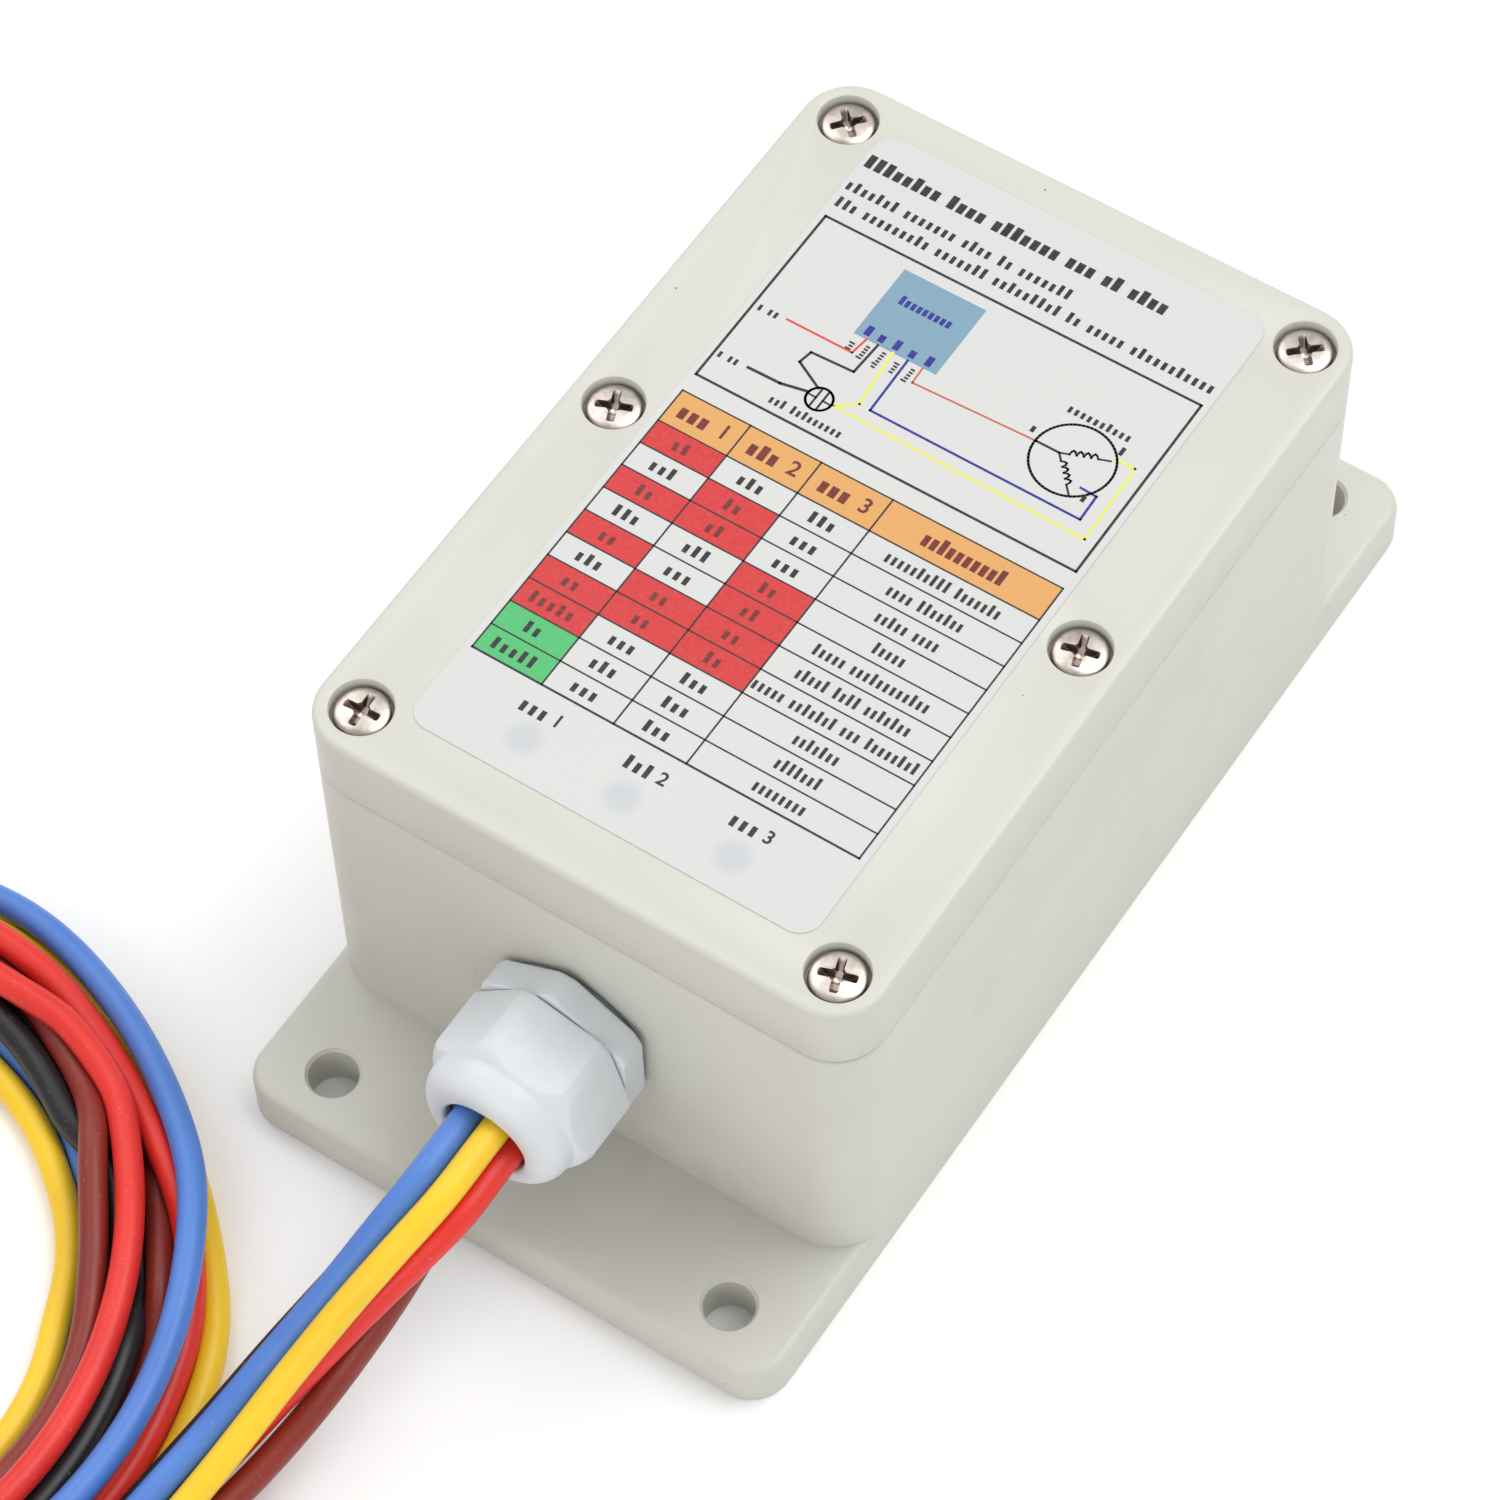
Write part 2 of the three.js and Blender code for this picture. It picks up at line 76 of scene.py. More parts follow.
# ---- leads ----------------------------------------------------------------------------------
# Five 14 AWG leads, tinned copper in soft silicone rubber, 3.8 mm thick and 0.9 m long. They leave
# the gland as one bundle, droop to the surface, pass the coil's side and wind into it for two
# turns. Their ends are bare.
LEAD_RADIUS = 1.9 * MM
LEAD_LENGTH = 0.90
# Millimetres right and up of the bundle's middle: in the gland, down the drop, on the floor.
LEAD_PLACES = {
    "blue": [(-2.47, 2.47), (-2.1, 2.25), (-1.6, 2.0), (-1.4, 1.9), (-1.2, 1.8), (-1.05, 1.75)],
    "yellow": [(1.58, 3.11), (1.8, 3.15), (2.1, 3.2), (2.4, 2.8), (2.75, 2.25), (3.1, 1.75)],
    "red": [(3.45, -0.55), (3.0, -0.7), (2.4, -0.8), (1.8, -1.25), (1.4, -1.6), (1.05, -1.8)],
    "black": [(-3.11, -1.58), (-3.3, -1.5), (-3.4, -1.4), (-3.4, -1.5), (-3.2, -1.7), (-3.1, -1.8)],
    "brown": [(0.55, -3.45), (1.3, -4.35), (2.75, -4.8), (4.4, -4.35), (5.2, -3.15), (5.3, -1.8)],
}
BUNDLE_ROUTE = [  # x, y, z in millimetres, and which of those places holds there
    (0, -66.3, 31, 0), (0, -74, 31, 0), (0, -82, 31, 0), (0, -89.5, 30.8, 0), (-1.7, -96, 27.6, 1),
    (-4.5, -103.5, 22, 2), (-7.8, -112.5, 15.4, 3), (-10.1, -121.8, 11.2, 4), (-11.9, -131.7, 8.8, 5),
    (-13.3, -143, 7.4, 5), (-15.2, -157, 5.3, 5), (-21, -172, 4, 5), (-31.5, -184.5, 4, 5),
    (-46, -193.5, 4, 5), (-62.5, -198, 4, 5), (-80, -199.2, 4, 5),
]
COIL_MIDDLE = Vector((-80, -133)) * MM
COIL_START, COIL_END, COIL_STEP = -90, -870, 5  # degrees
TURN_STEPS = 360 // COIL_STEP
COIL_HEIGHTS = (2.0, 9.2)  # of the lowest and highest strands' middles
LEAD_GAP = 0.08
SMOOTHINGS, SETTLINGS, DRAWN_SETTLINGS = 6, 260, 200


class Shade:
    """A value that changes over a surface. Sums on it become Math nodes."""

    def __init__(self, finish, socket):
        self.finish, self.socket = finish, socket

    def sum(self, operation, *values):
        return self.finish.node("ShaderNodeMath", {"operation": operation}, dict(enumerate(values)))

    def __add__(self, other):
        return self.sum("ADD", self, other)

    def __sub__(self, other):
        return self.sum("SUBTRACT", self, other)

    def __rsub__(self, other):
        return self.sum("SUBTRACT", other, self)

    def __mul__(self, other):
        return self.sum("MULTIPLY", self, other)

    def __gt__(self, other):
        return self.sum("GREATER_THAN", self, other)

    def __lt__(self, other):
        return self.sum("LESS_THAN", self, other)

    __radd__, __rmul__ = __add__, __mul__

    def eased(self, low, high):
        """0 below low, 1 above high, and smooth between them."""
        return self.finish.node("ShaderNodeMapRange", {"interpolation_type": "SMOOTHSTEP"},
                                {"Value": self, "From Min": low, "From Max": high})


class Finish:
    """The surface of one material: a shader, and the nodes that vary it."""

    def __init__(self, name, **settings):
        self.material = bpy.data.materials.new(name)
        self.material.use_nodes = True
        self.nodes = self.material.node_tree.nodes
        self.shader = self.nodes["Principled BSDF"]
        for socket, value in settings.items():
            self.shader.inputs[socket.replace("_", " ")].default_value = value
        self.place = self.node("ShaderNodeTexCoord", output="Object")

    def node(self, kind, settings=None, values=None, output=0):
        made = self.nodes.new(kind)
        for setting, value in (settings or {}).items():
            setattr(made, setting, value)
        for socket, value in (values or {}).items():
            self.feed(made.inputs[socket], value)
        return Shade(self, made.outputs[output])

    def feed(self, socket, value):
        if isinstance(value, Shade):
            self.material.node_tree.links.new(value.socket, socket)
        else:
            socket.default_value = value

    def set(self, socket, value):
        self.feed(self.shader.inputs[socket], value)

    def noise(self, size, detail=3, stretch=None):
        """Noise from 0 to 1 whose lumps are about that size in millimetres."""
        place = self.place
        if stretch:
            place = self.node("ShaderNodeVectorMath", {"operation": "MULTIPLY"}, {0: place, 1: stretch})
        return self.node("ShaderNodeTexNoise", None,
                         {"Vector": place, "Scale": 1 / (size * MM), "Detail": detail})

    def cells(self, size):
        """Distance from the middle of the nearest of scattered points, in cells of that size."""
        return self.node("ShaderNodeTexVoronoi", None,
                         {"Vector": self.place, "Scale": 1 / (size * MM)})

    def axis(self, letter):
        """Place along X, Y or Z in millimetres."""
        return self.node("ShaderNodeSeparateXYZ", None, {0: self.place}, output=letter) * (1 / MM)

    def mix(self, share, first, second):
        return self.node("ShaderNodeMix", {"data_type": "RGBA"},
                         {0: share, 6: first, 7: second}, output=2)

    def tint(self, share, first, second):
        self.set("Base Color", self.mix(share, first, second))

    def rough(self, spread, least, *grain):
        self.set("Roughness", self.noise(*grain) * spread + least)

    def bumps(self, height, strength, depth=0.1):
        self.set("Normal", self.node("ShaderNodeBump", None, {
            "Height": height, "Strength": strength, "Distance": depth * MM}))


def paint(red, green, blue):
    """A screen colour, 0 to 255, as the shader takes it."""
    levels = [((c / 255 + 0.055) / 1.055) ** 2.4 if c > 10 else c / 3294.6 for c in (red, green, blue)]
    return (*levels, 1)


def silicone(name, colour, dusk):
    """Soft silicone rubber: slightly waxy, with faint dust and a fine drag from the mould."""
    finish = Finish(name, IOR=1.42, Coat_Weight=0.12, Coat_Roughness=0.3)
    cloudy = finish.noise(14).eased(0.35, 0.7)
    dust = finish.noise(0.6, 5).eased(0.62, 0.8)
    shade = finish.mix(cloudy * 0.55, colour, dusk)
    finish.tint(dust * 0.12, shade, paint(225, 222, 218))
    finish.set("Roughness", finish.noise(5) * 0.16 + 0.36 + dust * 0.15)
    finish.bumps(finish.noise(0.35, 2) + finish.noise(4) * 2, 0.25, 0.03)
    return finish.material


LEAD_COLOURS = {
    "blue": (paint(82, 128, 205), paint(70, 112, 190)),
    "yellow": (paint(243, 200, 40), paint(230, 186, 34)),
    "red": (paint(224, 48, 38), paint(205, 38, 32)),
    "black": (paint(30, 30, 33), paint(22, 22, 25)),
    "brown": (paint(134, 44, 34), paint(116, 36, 28)),
}


def along_curve(points, steps):
    """Points on a smooth curve through these points."""
    points = [Vector(p) for p in points]
    ends = [2 * points[0] - points[1]] + points + [2 * points[-1] - points[-2]]
    curve = []
    for a, b, c, d in zip(ends, ends[1:], ends[2:], ends[3:]):
        for step in range(steps):
            t = step / steps
            bend = (2 * a - 5 * b + 4 * c - d) + t * (3 * (b - c) + d - a)
            curve.append(b + 0.5 * t * ((c - a) + t * bend))
    return curve + [points[-1]]


def bundle_lead(places):
    """The part of a lead from the gland to the coil."""
    middles = [Vector(place[:3]) for place in BUNDLE_ROUTE]
    route = []
    for index, middle in enumerate(middles):
        along = (middles[min(index + 1, len(middles) - 1)] - middles[max(index - 1, 0)]).normalized()
        right = Vector((-along.y, along.x, 0)).normalized()
        up = along.cross(right)
        if up.z < 0:
            up = -up
        side, height = places[BUNDLE_ROUTE[index][3]]
        route.append((middle + right * side + up * height) * MM)
    return route


# Where each lead lies in the coil: (radius, height) in millimetres at each angle. The degrees fall
# as it winds clockwise. Outer strands come first, and the red and blue ones end up on top.
COIL_ANGLES = (-150, -210, -260, -280, -300, -320, -340, -350, -362, -380, -410, -470, -540, -620, -640,
               -660, -680, -700, -720, -740, -800, -870)
COIL_PATHS = {
    "yellow": [(60, 2), (55, 2), (53, 2), (53, 2), (55, 2), (58, 2), (62.3, 2), (63.6, 2), (63.4, 2),
               (60.5, 2), (57, 2), (49, 2), (46, 2), (43.8, 2), (43.6, 2), (43.6, 2), (43.4, 2),
               (43.9, 2), (45.5, 2), (47, 2), (48, 2), (48, 2)],
    "red": [(57, 5.5), (54, 5.5), (52.5, 5.5), (52, 5.5), (52.5, 5.5), (54.8, 5.5), (58.4, 3),
            (60.4, 2), (61, 2), (58, 2), (54, 2), (52, 7), (50, 8), (48.6, 9), (48.8, 9), (50, 9),
            (50.7, 9), (50.9, 9), (52, 9), (53.5, 9), (52, 9), (51, 9)],
    "brown": [(56, 2), (51, 2), (51, 2), (51, 2), (51.4, 2), (52.3, 4), (55.6, 3.5), (57.2, 3), (58, 2),
              (56, 2), (52, 2), (48, 6), (48, 6), (49.6, 5.5), (49.4, 5.5), (48.9, 6.5), (47.1, 6.5),
              (47.9, 6), (49.7, 6), (50.5, 6), (50, 6), (50, 6)],
    "black": [(64, 2), (58, 2), (50, 2), (48, 2), (49, 2), (51, 2), (52.6, 3), (53.6, 3.5), (54.8, 4),
              (55, 5), (53, 5), (46, 5), (45.5, 5.5), (45.6, 5.5), (45.5, 5.5), (46.6, 5), (50, 3),
              (50.5, 2), (51, 2), (52, 2), (53, 3), (53, 3)],
    "blue": [(61, 5.5), (58.5, 4), (58, 2), (57.8, 4), (57.2, 7.5), (58, 9), (58.8, 9), (59.2, 9),
             (59.2, 9), (58.5, 8), (56, 8), (52, 2), (49, 2), (47.6, 2), (47.2, 2), (46.8, 2),
             (46.9, 2), (47.6, 2), (49.3, 2), (51, 2), (54, 2), (54, 2)],
}


def wound_leads():
    """Radius and height of every lead at every step of the coil, with none lying in another."""
    steps = np.arange(COIL_START, COIL_END - 1, -COIL_STEP)
    names = list(LEAD_PLACES)
    wanted = np.zeros((len(steps), len(names), 2))
    for column, name in enumerate(names):
        side, height = LEAD_PLACES[name][-1]
        turns = [90, 112] + [-angle for angle in COIL_ANGLES]
        knots = [(66.2 + side, 4 + height), (65 + side * 0.8, 4 + height)] + COIL_PATHS[name]
        for part in (0, 1):
            wanted[:, column, part] = np.interp(-steps, turns, [knot[part] for knot in knots])
    for _ in range(SMOOTHINGS):
        wanted[3:-1] = (wanted[2:-2] + 2 * wanted[3:-1] + wanted[4:]) / 4
    lying = wanted.copy()
    apart = 2 * LEAD_RADIUS / MM + LEAD_GAP
    for settling in range(SETTLINGS):
        if settling < DRAWN_SETTLINGS:
            lying += (wanted - lying) * 0.06
        for later in (0, TURN_STEPS, 2 * TURN_STEPS):
            for a in range(len(names)):
                for b in range(len(names)):
                    if later == 0 and b <= a:
                        continue
                    first, second = lying[:len(steps) - later, a], lying[later:, b]
                    gap = second - first
                    far = np.maximum(np.linalg.norm(gap, axis=1, keepdims=True), 1e-6)
                    push = np.maximum(apart - far, 0) / 2 * gap / far
                    first -= push
                    second += push
        lying[..., 1] = np.clip(lying[..., 1], *COIL_HEIGHTS)
        lying[:2] = wanted[:2]
        if settling % 4 == 0:
            lying[2:-1] = (lying[1:-2] + 6 * lying[2:-1] + lying[3:]) / 8
    return steps, {name: lying[:, column] for column, name in enumerate(names)}


def cut_to_length(points, length):
    """The points up to that length along them."""
    kept, so_far = [points[0]], 0.0
    for a, b in zip(points, points[1:]):
        step = (b - a).length
        if so_far + step >= length:
            kept.append(a.lerp(b, (length - so_far) / step))
            break
        kept.append(b)
        so_far += step
    return kept


coil_steps, coil_places = wound_leads()
lead_finishes = {}
for name, places in LEAD_PLACES.items():
    route = along_curve(bundle_lead(places), 4)
    for turn, (radius, height) in list(zip(coil_steps, coil_places[name]))[1:]:
        angle = math.radians(turn)
        route.append(Vector((COIL_MIDDLE.x + radius * MM * math.cos(angle),
                             COIL_MIDDLE.y + radius * MM * math.sin(angle), height * MM)))
    route = cut_to_length(route, LEAD_LENGTH)
    line = bpy.data.curves.new(f"lead_{name}_line", "CURVE")
    line.dimensions = "3D"
    line.bevel_depth = LEAD_RADIUS
    line.bevel_resolution = 6
    line.use_fill_caps = True
    spline = line.splines.new("NURBS")
    spline.points.add(len(route) - 1)
    for point, place in zip(spline.points, route):
        point.co = (*place, 1)
    spline.order_u = 4
    spline.use_endpoint_u = True
    spline.resolution_u = 3
    lead = shown(f"lead_{name}_cover", line)
    lead_finishes[name] = silicone(f"silicone_{name}", *LEAD_COLOURS[name])
    line.materials.append(lead_finishes[name])
    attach(lead, "box")
    if name == "red":
        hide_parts("lead_red", "lead_coil")
    else:
        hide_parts(f"lead_{name}")

# ---- floor and light ------------------------------------------------------------------------
# A pale sweep under three wide soft lamps: a strong one behind on the right, a weaker one on the
# left and one low in front. The room around is bright.
FLOOR_SIZE = 3.0
ROOM_LIGHT = 0.62
LAMPS = [  # place, size, watts
    ((0.45, 0.6, 1.45), 1.1, 15),
    ((-0.9, 0.25, 1.1), 1.0, 5),
    ((0.1, -1.3, 0.7), 1.0, 5),
]

floor_mesh = bmesh.new()
bmesh.ops.create_grid(floor_mesh, x_segments=1, y_segments=1, size=FLOOR_SIZE / 2)
floor_data = bpy.data.meshes.new("floor")
floor_mesh.to_mesh(floor_data)
floor = shown("floor", floor_data)
sweep = Finish("pale_sweep", Roughness=0.9)
pale, paler = paint(246, 246, 246), paint(250, 250, 250)
sweep.tint(sweep.noise(180) * 0.5, paler, pale)
floor_data.materials.append(sweep.material)

for number, (place, size, watts) in enumerate(LAMPS):
    lamp_data = bpy.data.lights.new(f"lamp_{number}", "AREA")
    lamp_data.size, lamp_data.energy = size, watts
    lamp = shown(f"lamp_{number}", lamp_data)
    lamp.location = place
    lamp.rotation_euler = (-Vector(place)).to_track_quat("-Z", "Y").to_euler()

room = bpy.data.worlds.new("room")
room.use_nodes = True
sky = room.node_tree.nodes["Background"].inputs
sky["Color"].default_value, sky["Strength"].default_value = (1, 1, 1, 1), ROOM_LIGHT
bpy.context.scene.world = room
bpy.context.scene.view_settings.view_transform = "Standard"

# ---- base box -------------------------------------------------------------------------------
# The lower shell, moulded in light grey ABS with its two ears, walls 3 mm thick. Six round bosses
# inside take the lid screws, and four short posts carry the circuit board.
BOX_WIDTH, BOX_LENGTH, BOX_CORNER = 80, 120, 7
WALL = 3
SEAM_HEIGHT = 53.3
EAR_LENGTH, EAR_THICKNESS, EAR_CORNER = 160, 7, 5.5
EAR_HOLES = [(x, y) for x in (-30, 30) for y in (-72.5, 72.5)]
SCREW_PLACES = [(x, y) for y in (-53.6, 0, 53.6) for x in (-33.8, 33.8)]
BOARD_SCREW_PLACES = [(-24.5, -45), (24.5, -45), (-24.5, 40), (24.5, 40)]
GLAND_HEIGHT = 31
BOSS_RADIUS = 4.6
BLOCK = (BOX_WIDTH, BOX_LENGTH, BOX_CORNER)
CORE = (BOX_WIDTH - 1, BOX_LENGTH - 1, BOX_CORNER - 0.5)  # what the bosses stay within
ROOM = (BOX_WIDTH - 2 * WALL, BOX_LENGTH - 2 * WALL, BOX_CORNER - WALL)


def outline(width, length, corner, steps=12):
    """A rectangle with round corners, as points."""
    points = []
    for quarter in range(4):
        side = 1 if quarter in (0, 3) else -1
        end = 1 if quarter < 2 else -1
        for step in range(steps + 1):
            angle = (quarter + step / steps) * math.pi / 2
            points.append((side * (width / 2 - corner) + corner * math.cos(angle),
                           end * (length / 2 - corner) + corner * math.sin(angle)))
    return points


def solid(name, rings, closed=False):
    """An object through rings of points in millimetres, capped at both ends or joined end to end."""
    mesh = bmesh.new()
    made = [[mesh.verts.new(Vector(point) * MM) for point in ring] for ring in rings]
    pairs = list(zip(made, made[1:])) + ([(made[-1], made[0])] if closed else [])
    for lower, upper in pairs:
        count = max(len(lower), len(upper))
        for i in range(count):
            j = (i + 1) % count
            if len(lower) == 1:
                mesh.faces.new((lower[0], upper[j], upper[i]))
            elif len(upper) == 1:
                mesh.faces.new((lower[i], lower[j], upper[0]))
            else:
                mesh.faces.new((lower[i], lower[j], upper[j], upper[i]))
    if not closed:
        if len(made[0]) > 1:
            mesh.faces.new(list(reversed(made[0])))
        if len(made[-1]) > 1:
            mesh.faces.new(made[-1])
    bmesh.ops.recalc_face_normals(mesh, faces=mesh.faces)
    return finished(name, mesh)


def finished(name, mesh):
    data = bpy.data.meshes.new(name)
    mesh.to_mesh(data)
    mesh.free()
    return shown(name, data)


def layered(name, levels, steps=12):
    """A solid through round-cornered rectangles: (height, width, length, corner) in millimetres."""
    return solid(name, [[(x, y, height) for x, y in outline(width, length, corner, steps)]
                        for height, width, length, corner in levels])


def round_top(width, length, corner, bottom, top, edge, steps=5):
    """The levels of a block whose upper edge is rounded."""
    levels = [(bottom, width, length, corner)]
    for step in range(steps + 1):
        angle = step / steps * math.pi / 2
        inset = edge * (1 - math.cos(angle))
        levels.append((top - edge * (1 - math.sin(angle)), width - 2 * inset, length - 2 * inset,
                       corner - inset))
    return levels


def around(radii):
    """Points evenly round the middle, one at each of these radii."""
    turns = [math.tau * i / len(radii) for i in range(len(radii))]
    return [(radius * math.cos(turn), radius * math.sin(turn)) for radius, turn in zip(radii, turns)]


def shifted(piece, x, y, z):
    """The piece, moved by millimetres."""
    piece.data.transform(Matrix.Translation(Vector((x, y, z)) * MM))
    return piece


def spun(piece, degrees, axis="Z"):
    """The piece, turned about that axis of the frame."""
    piece.data.transform(Matrix.Rotation(math.radians(degrees), 4, axis))
    return piece


def on_gland(piece):
    """A piece that stands on Z, laid along the gland's axis with its foot on the front wall."""
    return shifted(spun(piece, 90, "X"), 0, -BOX_LENGTH / 2, GLAND_HEIGHT)


def turned(name, profile, sides=48, closed=False, place=(0, 0, 0), lying=False):
    """A solid turned about Z from (radius, height) points, or about the gland's axis if lying."""
    rings = []
    for radius, height in profile:
        if radius == 0:
            rings.append([(0, 0, height)])
        else:
            rings.append([(x, y, height) for x, y in around([radius] * sides)])
    made = solid(name, rings, closed)
    return on_gland(made) if lying else shifted(made, *place)


def worked(piece, kind, **settings):
    """A modifier put on the piece and made permanent."""
    modifier = piece.modifiers.new(kind, kind)
    for setting, value in settings.items():
        setattr(modifier, setting, value)
    with bpy.context.temp_override(object=piece, active_object=piece, selected_objects=[piece]):
        bpy.ops.object.modifier_apply(modifier=modifier.name)


def joined(piece, others, operation="DIFFERENCE"):
    """The piece with the others cut out of it, or added to it."""
    for other in others:
        worked(piece, "BOOLEAN", operation=operation, object=other, solver="EXACT")
        bpy.data.objects.remove(other)
    return piece


def within(piece, limit):
    """The piece, cut back to what lies inside the limit."""
    worked(piece, "BOOLEAN", operation="INTERSECT", object=limit, solver="EXACT")
    return piece


def with_bosses(shell, profile, low, high):
    """The shell with a boss for each lid screw, none of which stands out of its round corners."""
    limit = layered("limit", [(low, *CORE), (high, *CORE)])
    for x, y in SCREW_PLACES:
        joined(shell, [within(turned("boss", profile, 40, place=(x, y, 0)), limit)], "UNION")
    bpy.data.objects.remove(limit)


def posts(name, profile, places, sides):
    return [turned(name, profile, sides, place=(x, y, 0)) for x, y in places]


def smooth(piece, degrees=32):
    """Round faces shade smoothly, and edges sharper than that stay crisp."""
    piece.data.polygons.foreach_set("use_smooth", [True] * len(piece.data.polygons))
    piece.data.set_sharp_from_angle(angle=math.radians(degrees))
    piece.data.update()


def place_piece(piece, finish, body, slot, *nodes):
    """Gives the piece its finish and body, in place of those nodes. The slot is not used."""
    piece.data.materials.clear()
    piece.data.materials.append(finish)
    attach(piece, body)
    if nodes:
        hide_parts(*nodes)


def moulded_grey(name, wall_marks):
    """Satin ABS: almost even, with faint flow marks, a fine spark grain, a few dark specks, and painted
    shade low down near the floor.
    """
    finish = Finish(name, IOR=1.5)
    flow = finish.noise(38, 4, (1, 1, 2.2)).eased(0.3, 0.75)
    patches = finish.noise(11, 2).eased(0.55, 0.8)
    specks = finish.cells(9) < 0.018
    # Painted shade near the floor: the low mask darkens the grey below 9 mm, most below 4 mm, on the foot
    # of the walls and on the ears.
    low = finish.axis("Z").eased(9, 4)
    shade = finish.mix(flow * 0.6, paint(200, 199, 190), paint(195, 194, 183))
    shade = finish.mix(patches * wall_marks, shade, paint(184, 181, 170))
    shade = finish.mix(low * 0.2, shade, paint(190, 188, 178))
    finish.tint(specks * 0.8, shade, paint(70, 66, 60))
    finish.rough(0.14, 0.36, 16)
    finish.bumps(finish.noise(0.45, 2) + finish.noise(6) * 1.5, 0.22, 0.035)
    return finish.material


base = layered("base_shell", [(0, BOX_WIDTH - 0.6, BOX_LENGTH - 0.6, BOX_CORNER), (0.3, *BLOCK)]
               + round_top(*BLOCK, 1, SEAM_HEIGHT, 0.45, 3))
ears = layered("ears", [(0, BOX_WIDTH - 0.6, EAR_LENGTH - 0.6, EAR_CORNER)]
               + round_top(BOX_WIDTH, EAR_LENGTH, EAR_CORNER, 0.3, EAR_THICKNESS, 1.3))
joined(base, [ears], "UNION")
joined(base, [layered("room", [(WALL, 72, 112, 3.2), (WALL + 0.8, *ROOM), (SEAM_HEIGHT + 1, *ROOM)], 6)])
with_bosses(base, [(0, WALL - 1), (BOSS_RADIUS, WALL - 1), (BOSS_RADIUS, SEAM_HEIGHT - 0.6),
                   (4.3, SEAM_HEIGHT - 0.3), (0, SEAM_HEIGHT - 0.3)], 0, SEAM_HEIGHT - 0.3)
joined(base, posts("post", [(0, WALL - 1), (3.9, WALL - 1), (3.5, WALL + 1.5), (3.5, 10.2),
                            (3.3, 10.4), (0, 10.4)], BOARD_SCREW_PLACES, 32), "UNION")
holes = posts("screw_hole", [(0, 21), (2.15, 21), (2.15, SEAM_HEIGHT - 10.3), (3.2, SEAM_HEIGHT - 10.3),
                             (3.2, SEAM_HEIGHT + 1), (0, SEAM_HEIGHT + 1)], SCREW_PLACES, 32)
holes += posts("post_hole", [(0, WALL + 1), (1.4, WALL + 1), (1.4, 12), (0, 12)], BOARD_SCREW_PLACES, 20)
holes += posts("ear_hole", [(0, -1), (3.8, -1), (3.8, 0), (3.3, 0.5), (3.3, EAR_THICKNESS - 0.5),
                            (3.7, EAR_THICKNESS), (3.7, EAR_THICKNESS + 1), (0, EAR_THICKNESS + 1)],
               EAR_HOLES, 48)
holes.append(turned("gland_hole", [(0, -10), (9.3, -10), (9.3, 10), (0, 10)], 48, lying=True))
joined(base, holes)
smooth(base)
place_piece(base, moulded_grey("box_grey", 0.22), "box", "shell", "base_box")

# ---- lid ------------------------------------------------------------------------------------
# The same grey ABS, 3 mm thick, with a rounded upper edge and a round well for each screw head.
# A tongue of rubber lies in the groove round its rim, and three holes let the lamps shine up.
BOX_HEIGHT = 64
LID_CEILING = 61
WELL_FLOOR = 61.6
LAMP_PLACES = [(-15, -47.2), (0, -47.2), (15, -47.2)]
LAMP_FOOT = 56.6  # the upper face of the lamp board

lid = layered("lid_shell", [(SEAM_HEIGHT, BOX_WIDTH - 0.9, BOX_LENGTH - 0.9, BOX_CORNER - 0.45),
                            (SEAM_HEIGHT + 0.15, BOX_WIDTH - 0.35, BOX_LENGTH - 0.35, BOX_CORNER - 0.15)]
              + round_top(*BLOCK, SEAM_HEIGHT + 0.5, BOX_HEIGHT, 0.9, 6))
joined(lid, [layered("hollow", [(SEAM_HEIGHT - 1, *ROOM), (LID_CEILING - 0.8, *ROOM),
                                (LID_CEILING, 72.4, 112.4, 3.2)], 6)])
with_bosses(lid, [(0, SEAM_HEIGHT), (4.3, SEAM_HEIGHT), (BOSS_RADIUS, SEAM_HEIGHT + 0.3),
                  (BOSS_RADIUS, BOX_HEIGHT - 1.6), (0, BOX_HEIGHT - 1.6)], SEAM_HEIGHT, BOX_HEIGHT - 1.5)
lamp_board_posts = [(x, LAMP_PLACES[0][1]) for x in (-20, 20)]
joined(lid, posts("post", [(0, LAMP_FOOT), (2, LAMP_FOOT), (2, 62), (0, 62)],
                  lamp_board_posts, 24), "UNION")
groove = layered("groove", [(height, 78.4, 118.4, 6.2)
                            for height in (SEAM_HEIGHT - 1, SEAM_HEIGHT + 1.4)])
joined(groove, [layered("groove_middle", [(height, 75.4, 115.4, 4.7)
                                          for height in (SEAM_HEIGHT - 2, SEAM_HEIGHT + 2)])])
joined(lid, [groove])
well = [(0, SEAM_HEIGHT - 1), (2.2, SEAM_HEIGHT - 1), (2.2, WELL_FLOOR), (3.95, WELL_FLOOR),
        (3.97, BOX_HEIGHT - 0.4), (4.08, BOX_HEIGHT - 0.12), (4.3, BOX_HEIGHT), (4.3, BOX_HEIGHT + 1),
        (0, BOX_HEIGHT + 1)]
joined(lid, posts("well", well, SCREW_PLACES, 64)
       + posts("lamp_hole", [(0, 60), (2.9, 60), (2.9, 65), (0, 65)], LAMP_PLACES, 32))
smooth(lid)
place_piece(lid, moulded_grey("lid_grey", 0.08), "lid", "shell", "lid")

